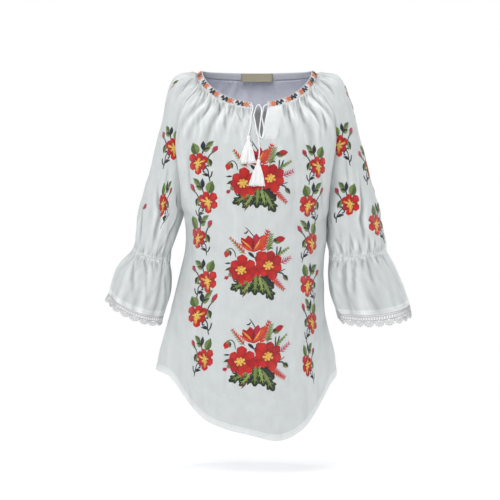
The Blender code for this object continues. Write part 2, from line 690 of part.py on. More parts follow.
# ---------------------------------------------------------------- Blender objects
def principled(name, colour, roughness):
    """A cloth finish of one colour."""
    material = bpy.data.materials.new(name)
    material.use_nodes = True
    shader = material.node_tree.nodes["Principled BSDF"]
    shader.inputs["Base Color"].default_value = (*colour, 1.0)
    shader.inputs["Roughness"].default_value = roughness
    shader.inputs["Metallic"].default_value = 0.0
    return material


def add_mesh(name, points, faces, material):
    """One named object from points in millimetres."""
    mesh = bpy.data.meshes.new(name)
    mesh.from_pydata([tuple(p * MM) for p in points], [], faces)
    mesh.validate()
    mesh.shade_smooth()
    mesh.set_sharp_from_angle(angle=math.radians(50.0))
    mesh.materials.append(material)
    item = bpy.data.objects.new(name, mesh)
    bpy.context.collection.objects.link(item)
    return item


def add_cord(name, route, material):
    """A drawstring's free end as a round tube along a smooth curve through its route."""
    fine = smooth(np.array(route), np.linspace(0.0, len(route) - 1.0, 40 * len(route)))
    length = np.linalg.norm(np.diff(fine, axis=0), axis=1).sum()
    points = along_length(fine, np.linspace(0.0, 1.0, int(round(length / CORD_STEP)) + 1))
    curve = bpy.data.curves.new(name, "CURVE")
    curve.dimensions = "3D"
    curve.bevel_depth = CORD_DIAMETER / 2.0 * MM
    curve.bevel_resolution = 2
    curve.use_fill_caps = True
    spline = curve.splines.new("POLY")
    spline.points.add(len(points) - 1)
    for place, point in zip(spline.points, points):
        place.co = (*(point * MM), 1.0)
    curve.materials.append(material)
    item = bpy.data.objects.new(name, curve)
    bpy.context.collection.objects.link(item)
    return item


def build():
    """Make every piece of the blouse."""
    for item in list(bpy.data.objects):
        bpy.data.objects.remove(item, do_unlink=True)
    cloth = principled("white_cloth", (0.86, 0.88, 0.88), 0.85)
    band_cloth = principled("neckband_cloth", (0.90, 0.72, 0.60), 0.8)
    lace = principled("cotton_lace", (0.88, 0.88, 0.88), 0.8)
    cord = principled("cotton_cord", (0.92, 0.92, 0.92), 0.7)
    label = principled("label_tape", (0.42, 0.40, 0.28), 0.75)

    front, back = front_sheet(), back_sheet()
    sleeves = (sleeve_sheet(-1), sleeve_sheet(1))
    flounces = (flounce_sheets(-1), flounce_sheets(1))
    band = band_sheet(front, back, sleeves)
    sheets = [front, back, band, *sleeves, *flounces[0], *flounces[1]]
    share_normals(sheets)
    for sheet in sheets:
        pull_back(sheet)

    add_mesh("front", *shell(front, CLOTH_WALL), cloth)
    add_mesh("back", *shell(back, CLOTH_WALL), cloth)
    add_mesh("neckband", *shell(band, BAND_WALL), band_cloth)
    for number, side in enumerate(("left", "right")):
        add_mesh("sleeve_" + side, *shell(sleeves[number], CLOTH_WALL), cloth)
        add_mesh("flounce_" + side, *shell(flounces[number][0], CLOTH_WALL), cloth)
        add_mesh("lace_" + side, *shell(flounces[number][1], LACE_WALL), lace)
    add_mesh("slit_facing", *shell(facing_sheet(), FACING_WALL), cloth)
    add_mesh("label", *shell(label_sheet(), LABEL_WALL), label)
    add_cord("drawstring_left", LEFT_CORD_ROUTE, cord)
    add_cord("drawstring_right", RIGHT_CORD_ROUTE, cord)
    add_mesh("tassel_left", *tassel_mesh(LEFT_TASSEL_HEAD, LEFT_TASSEL_FOOT), cord)
    add_mesh("tassel_right", *tassel_mesh(RIGHT_TASSEL_HEAD, RIGHT_TASSEL_FOOT), cord)


build()
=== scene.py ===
"""Looks of a romanian ie blouse: gathered muslin, embroidery, neck band, lace, cords and tassels.

+X is the viewer's right, the front faces -Y and +Z is up. Tables are in millimetres and become
metres in the meshes. Each piece has its own operator, and the sidebar panel lists them in order.
"""

import math
from collections import namedtuple
from functools import lru_cache, partial

import bpy
import numpy as np
from mathutils import Color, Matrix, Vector


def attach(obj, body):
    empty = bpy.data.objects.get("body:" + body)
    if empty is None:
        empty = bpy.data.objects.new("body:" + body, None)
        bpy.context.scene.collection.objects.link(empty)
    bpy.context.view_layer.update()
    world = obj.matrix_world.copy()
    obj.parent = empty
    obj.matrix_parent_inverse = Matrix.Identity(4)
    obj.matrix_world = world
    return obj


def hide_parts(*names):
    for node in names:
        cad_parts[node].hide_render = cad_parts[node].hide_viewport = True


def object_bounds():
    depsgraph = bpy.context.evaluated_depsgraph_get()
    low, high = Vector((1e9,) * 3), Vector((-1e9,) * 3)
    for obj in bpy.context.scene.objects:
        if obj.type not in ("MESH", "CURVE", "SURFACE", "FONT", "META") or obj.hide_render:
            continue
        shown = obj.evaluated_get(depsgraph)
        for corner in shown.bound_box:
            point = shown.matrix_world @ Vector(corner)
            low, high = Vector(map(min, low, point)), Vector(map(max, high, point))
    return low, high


bl_info = {
    "name": "Ie Blouse",
    "version": (1, 0, 0),
    "blender": (4, 5, 0),
    "location": "3D View > Sidebar > Ie Blouse",
    "description": "Builds an embroidered folk blouse round its packed frame",
    "category": "Add Mesh",
}

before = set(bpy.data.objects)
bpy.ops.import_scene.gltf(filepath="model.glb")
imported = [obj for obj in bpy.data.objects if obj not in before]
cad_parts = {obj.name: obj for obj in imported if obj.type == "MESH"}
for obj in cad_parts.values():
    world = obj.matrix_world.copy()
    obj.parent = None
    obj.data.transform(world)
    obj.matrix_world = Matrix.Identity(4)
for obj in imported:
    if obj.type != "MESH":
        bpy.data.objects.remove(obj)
CAD_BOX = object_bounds()

MM = 0.001
CORD_DIAMETER = 2.4
UNDERARM = 9.0               # row number where the four panels meet under the arm
ELASTIC = 12.0               # row number of the sleeve's elastic line
HEM = 17.0                   # row number of the body's hem
SLIT_FOOT = 3.2              # row number where the neck slit ends
FINE = 481                   # samples of a row before it is divided evenly along its length


def as_rows(kind, *rows):
    """A table whose rows have the named columns of their kind."""
    return tuple(kind(*row) for row in rows)


# The neck seam, where the gathered cloth meets the band, and the band's free upper edge.
# angle 0 is the front centre and 180 the back centre
RingSize = namedtuple("RingSize", "half_width centre_y front_reach back_reach side_z front_drop back_drop")
NECK_SEAM = RingSize(121, 10, 91, 52, -2, 75, 7)
BAND_EDGE = RingSize(110, 8, 78, 48, 6, 71, 0)
RING_DIP_POWER = 1.2
FRONT_RAGLAN_ANGLE = 71
BACK_RAGLAN_ANGLE = 120

# Sleeve rows run from the front raglan seam over the outside of the arm to the back raglan seam.
# seam_x, seam_z: middle of the row's two ends.  outer_x, outer_z: its outermost point.
# mid_y: middle in depth.  deep: half depth.  rise: how far its back stands above its middle.
# spread: half angle of the arc; 180 closes it to a tube.
SleeveRow = namedtuple("SleeveRow", "seam_x seam_z outer_x outer_z mid_y deep rise spread")
LEFT_SLEEVE = as_rows(
    SleeveRow,
    (-109.5, -15, -121, -2, 9, 29, 11, 90), (-122, -33, -142, 1, 8, 47, 8, 98),
    (-139, -55, -164, -7, 6, 57, 7, 101), (-149, -80, -179, -37, 4, 60, 6, 106),
    (-153, -112, -188, -82, 3, 60, 4, 110), (-153, -150, -199, -128, 3, 58, 2, 116),
    (-151, -195, -210, -176, 2, 57, 1, 127), (-149, -238, -222, -222, 1, 56, 1, 143),
    (-147, -263, -231, -256, 1, 54, 1, 161), (-145.5, -279, -236, -279, 1, 53, 1, 180),
    (-156, -313, -240.5, -306, 1, 52, 3, 180), (-165, -337, -243, -330, 1, 49, 7, 180),
    (-175, -366, -244, -348, 1, 38, 12, 180)
)
RIGHT_SLEEVE = as_rows(
    SleeveRow,
    (109.5, -15, 121, -2, 9, 29, 11, 90), (122, -33, 144, 1, 8, 47, 8, 98),
    (138, -55, 167, -9, 6, 56, 7, 101), (148, -80, 184, -48, 4, 58, 6, 106),
    (150, -112, 196, -90, 3, 57, 4, 110), (148, -150, 208, -134, 3, 54, 2, 116),
    (144, -195, 221, -184, 3, 52, 1, 127), (141, -238, 233, -232, 3, 50, 1, 143),
    (140, -270, 243, -268, 3, 49, 1, 161), (140, -290, 248, -292, 3, 48, 1, 180),
    (141, -315, 255, -317, 3, 47, 2, 180), (139.5, -339, 260, -338, 3, 46, 4, 180),
    (147, -367, 256, -352, 3, 38, 6, 180)
)

# Flounce rows, from the elastic line to the cloth's lower edge; the last row is the lace's edge
FlounceRow = namedtuple("FlounceRow", "inner_x inner_z outer_x outer_z mid_y deep rise")
LEFT_FLOUNCE = as_rows(
    FlounceRow,
    (-175, -366, -244, -348, 1, 38, 12), (-172, -386, -258, -364, 1, 50, 12),
    (-169, -413, -278, -387, 1, 57, 12), (-172, -445, -288, -412, 1, 61, 15),
    (-184, -479, -295, -436, 1, 63, 17), (-188, -498, -303, -450, 1, 65, 18)
)
RIGHT_FLOUNCE = as_rows(
    FlounceRow,
    (147, -367, 256, -352, 3, 38, 6), (142, -384, 267, -370, 3, 49, 8), (142, -412, 281, -400, 3, 56, 10),
    (146, -442, 294, -430, 3, 60, 12), (156, -474, 305, -460, 3, 63, 14),
    (161, -494, 311, -484, 3, 65, 16)
)
SLEEVES, FLOUNCES = {-1: LEFT_SLEEVE, 1: RIGHT_SLEEVE}, {-1: LEFT_FLOUNCE, 1: RIGHT_FLOUNCE}

# Body rows at the front and back centre, one for each row number
# curl: half angle of the row's arc; over 90 the panel folds back to its seam.
# tail: share of the shirt tail's drop that the row has
BodyRow = namedtuple("BodyRow", "front_y front_z back_y back_z front_curl back_curl tail")
BODY = as_rows(
    BodyRow,
    (-81, -77, 62, -9, 71, 60, 0), (-92, -95, 78, -28, 84, 80, 0), (-100, -114, 90, -52, 94, 92, 0),
    (-106, -136, 99, -82, 100, 98, 0), (-111, -161, 106, -115, 103, 101, 0),
    (-116, -190, 110, -154, 104, 102, 0), (-119, -224, 110, -200, 103, 102, 0),
    (-120, -260, 107, -244, 99, 98, 0), (-120, -288, 103, -276, 95, 95, 0),
    (-119, -308, 100, -298, 90, 90, 0), (-117, -346, 98, -338, 90, 90, 0),
    (-115, -381, 96, -374, 90, 90, 0.13), (-114, -417, 96, -411, 90, 90, 0.27),
    (-115, -453, 99, -448, 90, 90, 0.41), (-117, -489, 104, -485, 90, 90, 0.56),
    (-120, -524, 109, -521, 90, 90, 0.71), (-123, -558, 113, -557, 90, 90, 0.86),
    (-126, -592, 117, -592, 90, 90, 1)
)

# Side seams below the underarm, one row for each row number from 9
SideRow = namedtuple("SideRow", "left_x right_x side_z")
SIDES = as_rows(
    SideRow,
    (-144.5, 141, -280), (-141, 139.5, -328), (-145.5, 134, -367), (-155, 131.5, -405), (-164, 132, -443),
    (-173.5, 136.5, -481), (-184, 145.5, -519), (-194.5, 154, -556), (-201, 159, -592)
)
NECK_SQUARENESS = 1        # power of a row's depth profile: 1 is an ellipse, less is fuller
BODY_SQUARENESS = 0.8
SQUARENESS_ROWS = 3        # rows over which the neck's roundness turns into the body's

TAIL_ROUNDING = 0.09         # share of the width over which the tail's outline is rounded

# Shirt tail: drop of the hem below the side corners, across the width from -1 to 1
TailPoint = namedtuple("TailPoint", "across drop")
TAIL = as_rows(
    TailPoint,
    (-1, 0), (-0.86, 4), (-0.77, 13), (-0.70, 38), (-0.60, 65), (-0.45, 92), (-0.2, 109), (0.1, 121),
    (0.24, 129), (0.38, 131), (0.52, 121), (0.7, 95), (0.82, 56), (0.92, 22), (1, 8)
)

# Neck slit: half its opening at the neck seam, and where its line lies along the row
SLIT_LINE = 0.518
SLIT_HALF_OPENING = 15
SLIT_CLOSING_POWER = 0.8

# Gathers below the neck band.  top, foot: place along the row at the neck and at the fold's end.
# half_width: in the same measure.  depth: into the cloth.  length: in row numbers
Fold = namedtuple("Fold", "top foot half_width depth length")
FRONT_FOLDS = as_rows(
    Fold,
    (0.110, 0.070, 0.040, 3.6, 5), (0.180, 0.140, 0.036, 3.2, 4.2), (0.255, 0.225, 0.036, 3.4, 5.5),
    (0.330, 0.310, 0.034, 2.6, 4), (0.405, 0.395, 0.032, 2.2, 3.4), (0.690, 0.700, 0.036, 3.2, 5),
    (0.765, 0.790, 0.038, 3.4, 5.2), (0.845, 0.880, 0.038, 3.8, 4.6), (0.920, 0.950, 0.034, 3, 4)
)
BACK_FOLDS = as_rows(
    Fold,
    (0.110, 0.080, 0.045, 3, 4.6), (0.215, 0.185, 0.045, 3.2, 5.2), (0.320, 0.300, 0.042, 2.6, 4),
    (0.430, 0.425, 0.045, 3.2, 5.4), (0.535, 0.540, 0.042, 2.6, 4.2), (0.640, 0.660, 0.045, 3.2, 5),
    (0.755, 0.785, 0.045, 2.8, 4.2), (0.870, 0.905, 0.045, 3.2, 4.8)
)
SLEEVE_FOLDS = as_rows(
    Fold,
    (0.160, 0.130, 0.085, 3.4, 4.2), (0.370, 0.340, 0.080, 2.8, 3), (0.600, 0.610, 0.080, 2.6, 3.2),
    (0.820, 0.850, 0.085, 3.2, 4)
)
FOLD_START_ROWS = 0.8        # rows over which a gather grows to its full depth below the band
FOLD_EDGE_MARGIN = 0.05      # share of the row's length over which folds die away at the seams

# Flares of the flounce.  around: share of the ring's length from the inner side, front first
Flare = namedtuple("Flare", "around half_width height")
FLARES = as_rows(
    Flare,
    (0.08, 0.070, 4.5), (0.21, 0.060, 5.5), (0.34, 0.065, 4.5), (0.47, 0.060, 3.5), (0.60, 0.065, 5),
    (0.74, 0.065, 4.5), (0.88, 0.065, 5)
)

# Drawstrings, from the slit's ends of the neck band to the tassels
LEFT_CORD_ROUTE = (
    (-9.6, -78.4, -71.2), (-8.6, -81.6, -75), (-8.9, -86.8, -81.4), (-10.6, -91.2, -88.5),
    (-11.9, -95.4, -96.5), (-12, -101, -109.8), (-15, -106, -123.4), (-16.9, -109.2, -131.6),
)
RIGHT_CORD_ROUTE = (
    (19.4, -77, -70.6), (15.4, -78.6, -71.6), (12.4, -81.8, -75.5), (10.6, -88.8, -85.2),
    (8.9, -94.9, -96.2), (11.2, -100.4, -107.9), (12.9, -104.6, -119.5), (13.1, -107.4, -129.2),
    (9.9, -109.8, -137.4), (6.2, -110.8, -135.4), (4, -109.4, -125.5), (5.2, -105.4, -112.5),
    (6.9, -100.6, -99.6), (8.3, -94.4, -86.5), (7.4, -87.4, -76.6), (3.6, -84.2, -71.2),
    (-0.9, -84.8, -73.6), (-4.6, -90.2, -83.6), (-6.6, -95.6, -93.3), (-4.4, -99, -104),
    (-2.4, -104, -117.6), (-0.6, -107, -128.2), (2.7, -109.2, -137), (3.6, -112, -152.4),
    (4, -114.8, -166), (2.6, -118, -178),
)

LEFT_TASSEL_HEAD = (-17.1, -110, -132.8)
LEFT_TASSEL_FOOT = (-19.2, -121.8, -188.3)
RIGHT_TASSEL_HEAD = (2.5, -118.6, -179.4)
RIGHT_TASSEL_FOOT = (-1.4, -126, -232)
# Each side's cord, with its tassel's head and foot
CORDS = {-1: (LEFT_CORD_ROUTE, LEFT_TASSEL_HEAD, LEFT_TASSEL_FOOT),
         1: (RIGHT_CORD_ROUTE, RIGHT_TASSEL_HEAD, RIGHT_TASSEL_FOOT)}


# ---------------------------------------------------------------- rows and curves
def smooth(values, place):
    """Smooth curve through values standing at 0, 1, 2..., read at the given places."""
    values = np.asarray(values, dtype=float)
    place = np.clip(np.asarray(place, dtype=float), 0, len(values) - 1)
    slopes = np.gradient(values, axis=0)
    low = np.minimum(place.astype(int), len(values) - 2)
    f = place - low
    if values.ndim > 1:
        f = f[..., None]
    start, end = values[low], values[low + 1]
    bend = f * (1 - f) ** 2 * slopes[low] - f * f * (1 - f) * slopes[low + 1]
    return start + (end - start) * f * f * (3 - 2 * f) + bend


def read_row(table, place):
    """The table's row at a fractional row number."""
    return type(table[0])(*smooth(np.array(table), place))


def ring_point(ring, angle):
    """Points of a neck ring at angles in degrees, 0 at the front and positive to +X."""
    t = np.radians(np.asarray(angle, dtype=float))
    front, back = np.maximum(np.cos(t), 0), np.maximum(-np.cos(t), 0)
    x = ring.half_width * np.sin(t)
    y = ring.centre_y - ring.front_reach * front + ring.back_reach * back
    z = ring.side_z - ring.front_drop * front ** RING_DIP_POWER - ring.back_drop * back
    return np.stack([x, y, z], axis=-1)


def travelled(points):
    """Distance along a polyline to each of its points."""
    return np.concatenate([[0], np.cumsum(np.linalg.norm(np.diff(points, axis=0), axis=1))])


def read_line(table, length, wanted):
    """Points of a polyline's table at distances along it."""
    return np.stack([np.interp(wanted, length, table[:, k]) for k in range(3)], axis=-1)


def along_length(points, fractions):
    """Points at even shares of a polyline's own length."""
    length = travelled(points)
    return read_line(points, length, np.asarray(fractions) * length[-1])


def arc_between(row, near, far, spread):
    """A row's arc from its front end to its back end, in one sweep round its outermost point."""
    theta = np.radians(spread) * np.linspace(-1, 1, FINE)
    end = math.cos(math.radians(spread))
    closing = (np.cos(theta) - end) / (1 - end)
    x = near[0] + (far[0] - near[0]) * closing
    z = near[1] + (far[1] - near[1]) * closing + row.rise * np.sin(theta)
    return np.stack([x, row.mid_y + row.deep * np.sin(theta), z], axis=-1)


def sleeve_arc(row, side, place):
    """One sleeve row, finely sampled from its front end to its back end."""
    arc = arc_between(row, (row.seam_x, row.seam_z), (row.outer_x, row.outer_z), row.spread)
    if place < 1:
        seam = ring_point(NECK_SEAM, side * np.linspace(FRONT_RAGLAN_ANGLE, BACK_RAGLAN_ANGLE, FINE))
        if place == 0:
            return seam
        arc += (seam - sleeve_arc(SLEEVES[side][0], side, 1)) * (1 - place) ** 2
    return arc


def sleeve_row(side, place):
    """One sleeve row at a row number; side is -1 for the left and 1 for the right."""
    return sleeve_arc(read_row(SLEEVES[side], place), side, place)


def flounce_row(side, place):
    """One ring of a flounce, finely sampled from its inner side round the front."""
    row = read_row(FLOUNCES[side], place)
    return arc_between(row, (row.inner_x, row.inner_z), (row.outer_x, row.outer_z), 180)


def side_point(side, place, facing):
    """End of a body row: on the raglan seam above the underarm, on the side seam below it.

    facing is -1 for the front panel's end and 1 for the back panel's.
    """
    if place <= UNDERARM:
        return sleeve_row(side, place)[0 if facing < 0 else -1]
    seam = sleeve_row(side, UNDERARM)[0]
    point, start = [np.array([row.left_x if side < 0 else row.right_x, seam[1], row.side_z])
                    for row in (read_row(SIDES, place - UNDERARM), read_row(SIDES, 0))]
    return point + (seam - start) * max(0, UNDERARM + 1 - place) ** 2


def tail_drop(across):
    """Drop of the hem below the side corners, at places across the width from -1 to 1."""
    places, drops = zip(*TAIL)
    reach = TAIL_ROUNDING * np.clip((1 - np.abs(across)) / 0.2, 0, 1)
    return np.mean([np.interp(across + reach * share, places, drops) for share in np.linspace(-1, 1, 9)],
                   axis=0)


def panel_arc(row, left, right, facing, power):
    """A body row between its two seam points, before any fitting to the neck seam."""
    middle_y, middle_z, curl = row.front_y, row.front_z, row.front_curl
    if facing > 0:
        middle_y, middle_z, curl = row.back_y, row.back_z, row.back_curl
    angle = np.radians(curl) * np.linspace(-1, 1, FINE)
    across = np.sin(angle) / math.sin(math.radians(curl))
    end = math.cos(math.radians(curl))
    fullness = np.clip((np.cos(angle) - end) / (1 - end), 0, 1)
    ends = left + (right - left) * (across[:, None] + 1) / 2
    y = ends[:, 1] + (middle_y - ends[:, 1]) * fullness ** power
    z = ends[:, 2] + (middle_z - ends[:, 2]) * fullness - row.tail * tail_drop(across)
    return np.stack([ends[:, 0], y, z], axis=-1)


def body_row(facing, place):
    """One row of the front (facing -1) or back (facing 1) panel, finely sampled left to right."""
    left, right = side_point(-1, place, facing), side_point(1, place, facing)
    power = NECK_SQUARENESS + (BODY_SQUARENESS - NECK_SQUARENESS) * min(place / SQUARENESS_ROWS, 1)
    arc = panel_arc(read_row(BODY, place), left, right, facing, power)
    if place < 1:
        limit = FRONT_RAGLAN_ANGLE if facing < 0 else BACK_RAGLAN_ANGLE
        last = limit if facing < 0 else limit - 360
        seam = ring_point(NECK_SEAM, np.linspace(-limit, last, FINE))
        if place == 0:
            return seam
        arc += (seam - panel_arc(BODY[0], seam[0], seam[-1], facing, NECK_SQUARENESS)) * (1 - place) ** 2
    return arc


# ---------------------------------------------------------------- fine cloth
def bump(distance):
    """Rounded profile that is 1 in the middle and 0 from a distance of 1."""
    return np.where(np.abs(distance) < 1, np.cos(np.clip(distance, -1, 1) * math.pi / 2) ** 2, 0)


def ease(value, low, high):
    """0 below low, 1 above high and smooth in between."""
    t = np.clip((value - low) / (high - low), 0, 1)
    return t * t * (3 - 2 * t)


def fade(distance, reach):
    """1 on a line, dying away with the distance from it."""
    return np.exp(-distance / reach)


def ridge(distance, width):
    """A soft ridge of this half width, 1 on its top."""
    return np.exp(-(distance / width) ** 2)


def unevenness(u, v, seed, wave, stretch=1, count=26):
    """Soft seeded unevenness, about -1 to 1, over coordinates in millimetres."""
    draw = np.random.default_rng(seed)
    total = np.zeros(np.broadcast(u, v).shape)
    for _ in range(count):
        angle, size = draw.uniform(0, math.pi), wave * draw.uniform(0.6, 1.7)
        phase = draw.uniform(0, math.tau)
        total += np.sin((u * math.cos(angle) + v * math.sin(angle) / stretch) * math.tau / size + phase)
    return total * 0.8 / math.sqrt(count)


def nearest(places, place):
    """Grid row that stands nearest to a row number."""
    return int(np.argmin(np.abs(places - place)))


def even_places(row_at, knots, step, extra=()):
    """Row numbers evenly spaced in real length down a panel's middle, with its knots kept."""
    dense = np.linspace(knots[0], knots[-1], 400)
    length = travelled(np.array([row_at(place)[FINE // 2] for place in dense]))
    wanted = set(np.linspace(0, length[-1], int(length[-1] / step) + 1))
    for knot in knots[1:-1]:
        at = np.interp(knot, dense, length)
        wanted.discard(min(wanted, key=lambda value: abs(value - at)))
        wanted.add(at)
    wanted.update(length[-1] - distance for distance in extra)
    return np.interp(sorted(wanted), length, dense)


class Cloth:
    """A panel's fine grid: points, the way they face, their faces and distances along the cloth.

    closed_at: row number from which the rows close into rings.  split: column whose right-hand
    neighbour stands across a slit.  foot: grid row where the slit ends.
    """

    def __init__(self, rows, places, along, closed_at=None, flip=False, split=None, foot=None):
        self.points, self.places = np.array(rows, dtype=float), np.asarray(places)
        height, width = self.points.shape[:2]
        self.along = np.broadcast_to(along, (height, width))
        self.closed_from = None if closed_at is None else nearest(self.places, closed_at)
        self.split = split
        raw = np.arange(height * width).reshape(height, width)
        welded, left = raw.copy(), np.arange(width - 1)
        if closed_at is not None:
            welded[self.closed_from:, -1] = welded[self.closed_from:, 0]
        if split is not None:
            welded[foot:, split + 1] = welded[foot:, split]
            left = np.delete(left, split)
        self.index = welded

        def faces(index):
            """Quads between each column and its neighbour, but not across the slit."""
            around = [index[:-1, left], index[1:, left], index[1:, left + 1], index[:-1, left + 1]]
            quads = np.stack(around, axis=-1).reshape(-1, 4)
            return quads[:, ::-1] if flip else quads
        self.faces, self.raw_faces = faces(welded), faces(raw)
        self.settle()
        # gathers: strength of the fine gathers' bump and of their painted light and shade; shade: strength of
        # the painted crease shade
        self.gathers, self.shade = np.zeros((height, width)), 1
        self.smooth_points, self.smooth_normals = self.points.copy(), self.normals.copy()
        steps = np.linalg.norm(np.diff(self.points, axis=1), axis=2)
        self.across = np.concatenate([np.zeros((height, 1)), np.cumsum(steps, axis=1)], axis=1)
        self.row_length = self.across[:, -1]
        self.edge = np.minimum(self.across, self.row_length[:, None] - self.across)
        steps = np.linalg.norm(np.diff(self.points, axis=0), axis=2)
        self.down = np.concatenate([np.zeros((1, width)), np.cumsum(steps, axis=0)], axis=0)
        self.bottom = self.down[-1] - self.down

    def settle(self):
        """Work out the way each point faces."""
        flat = self.points.reshape(-1, 3)[self.index.ravel()]
        self.points = flat.reshape(self.points.shape)
        corner = flat[self.faces]
        facing = np.cross(corner[:, 2] - corner[:, 0], corner[:, 3] - corner[:, 1])
        normals = np.zeros_like(flat)
        for k in range(4):
            np.add.at(normals, self.faces[:, k], facing)
        normals /= np.maximum(np.linalg.norm(normals, axis=1), 1e-9)[:, None]
        self.normals = normals[self.index]

    def push(self, distance):
        """Move each point out along the way it faces."""
        self.points = self.points + self.normals * distance[..., None]
        self.settle()

    def painted_crease_shade(self):
        """How much painted shade each point gets: 1 deep in a crease, where it lies below its neighbours in
        the row, and under 0 on a ridge, which is painted lighter.
        """
        rise = np.sum((self.points - self.smooth_points) * self.smooth_normals, axis=-1)
        padded = np.pad(rise, ((0, 0), (FURROW_REACH, FURROW_REACH)), mode="edge")
        around = [padded[:, k:k + rise.shape[1]] for k in range(2 * FURROW_REACH + 1)]
        gap = np.mean(around, axis=0) - rise
        return np.clip(gap * np.abs(gap) / (np.abs(gap) + 0.5) / 1.3, -0.6, 1)

    def column_at(self, steps):
        """Grid column at a number of steps across, with the closed slit stepped over."""
        return steps if self.split is None else steps + (steps > self.split)

    def read(self, table, row, column):
        """Values of a grid table between its points."""
        height, width = table.shape[:2]
        row, column = np.clip(row, 0, height - 1.001), np.clip(column, 0, width - 1.001)
        i, j = row.astype(int), column.astype(int)
        f, g = row - i, column - j
        if table.ndim == 3:
            f, g = f[..., None], g[..., None]
        upper = table[i, j] * (1 - g) + table[i, j + 1] * g
        lower = table[i + 1, j] * (1 - g) + table[i + 1, j + 1] * g
        return upper * (1 - f) + lower * f

    def seen_from_front(self, x, z):
        """Grid row and column of the outer point that stands at x, z in the front view."""
        seen = front_view(self.smooth_points)
        gap = np.hypot(seen[..., 0] - x, seen[..., 1] - z) + 1e4 * (self.smooth_normals[..., 1] > 0.05)
        row, column = np.unravel_index(np.argmin(gap), gap.shape)
        height, width = gap.shape
        row, column = float(np.clip(row, 1, height - 2)), float(np.clip(column, 1, width - 2))
        for _ in range(3):
            here, down, right = [self.read(seen, np.array(row + a), np.array(column + b))
                                 for a, b in ((0, 0), (0.5, 0), (0, 0.5))]
            steps = np.column_stack([(down - here) * 2, (right - here) * 2])
            if abs(np.linalg.det(steps)) < 1e-3:
                break
            move = np.clip(np.linalg.solve(steps, np.array([x, z]) - here), -1.5, 1.5)
            row, column = row + move[0], column + move[1]
        return row, column


def even_cloth(row_at, knots, step, extra, around, **how):
    """A cloth whose rows and columns stand evenly on the rows that a function gives."""
    places = even_places(row_at, knots, step, extra)
    shares = np.linspace(0, 1, around + 1)
    return Cloth([along_length(row_at(place), shares) for place in places], places, shares, **how)


FURROW_REACH = 4             # neighbours on each side that a furrow is measured against
# The front view, as seen from this far in front of the origin at the middle of the blouse
VIEW_DISTANCE = 3200
VIEW_X, VIEW_Z = -14, -354


def front_view(points):
    """Where points appear in the front view, in millimetres on the plane through the origin."""
    scale = VIEW_DISTANCE / (points[..., 1] + VIEW_DISTANCE)
    return np.stack([VIEW_X + (points[..., 0] - VIEW_X) * scale,
                     VIEW_Z + (points[..., 2] - VIEW_Z) * scale], axis=-1)


# ---------------------------------------------------------------- meshes
def grid_faces(upper, lower):
    """Quads between two grids of point numbers, one row and its neighbours at a time."""
    return np.stack([upper[:, :-1], upper[:, 1:], lower[:, 1:], lower[:, :-1]], axis=-1).reshape(-1, 4)


def make_mesh(name, points, face_sets, material, uvs=None, colours=None, values=()):
    """A smooth mesh object from points in millimetres and lists of faces with as many corners."""
    mesh = bpy.data.meshes.new(name)

    def store(target, key, numbers, kind=np.float32):
        """Write a whole list of numbers into the mesh at once."""
        target.foreach_set(key, np.asarray(numbers).astype(kind).ravel())
    mesh.vertices.add(len(points))
    store(mesh.vertices, "co", np.asarray(points) * MM)
    corners = np.concatenate([np.asarray(faces).ravel() for faces in face_sets])
    sizes = np.concatenate([np.full(len(faces), np.asarray(faces).shape[1]) for faces in face_sets])
    mesh.loops.add(len(corners))
    store(mesh.loops, "vertex_index", corners, np.int32)
    mesh.polygons.add(len(sizes))
    store(mesh.polygons, "loop_start", np.concatenate([[0], np.cumsum(sizes)[:-1]]), np.int32)
    store(mesh.polygons, "use_smooth", np.ones(len(sizes)), bool)
    if uvs is not None:
        flat = np.concatenate([np.asarray(uv).reshape(-1, 2) for uv in uvs])
        store(mesh.uv_layers.new(name="UVMap").uv, "vector", flat)
    if colours is not None:
        thread = mesh.color_attributes.new(name="thread", type="FLOAT_COLOR", domain="POINT")
        store(thread.data, "color", np.column_stack([colours, np.ones(len(points))]))
    for label, numbers in dict(values).items():
        store(mesh.attributes.new(name=label, type="FLOAT", domain="POINT").data, "value", numbers)
    mesh.update(calc_edges=True)
    mesh.validate(verbose=False)
    mesh.materials.append(material)
    item = bpy.data.objects.new(name, mesh)
    bpy.context.collection.objects.link(item)
    return item


# Painted shade deep inside: the inner side is painted darker below the neck opening, and lighter again near
# the hem
NEAR_OPENING = (48, 74)      # millimetres below the neck where the inner side grows darker
NEAR_HEM = (40, 150)         # millimetres above the hem where it grows light again


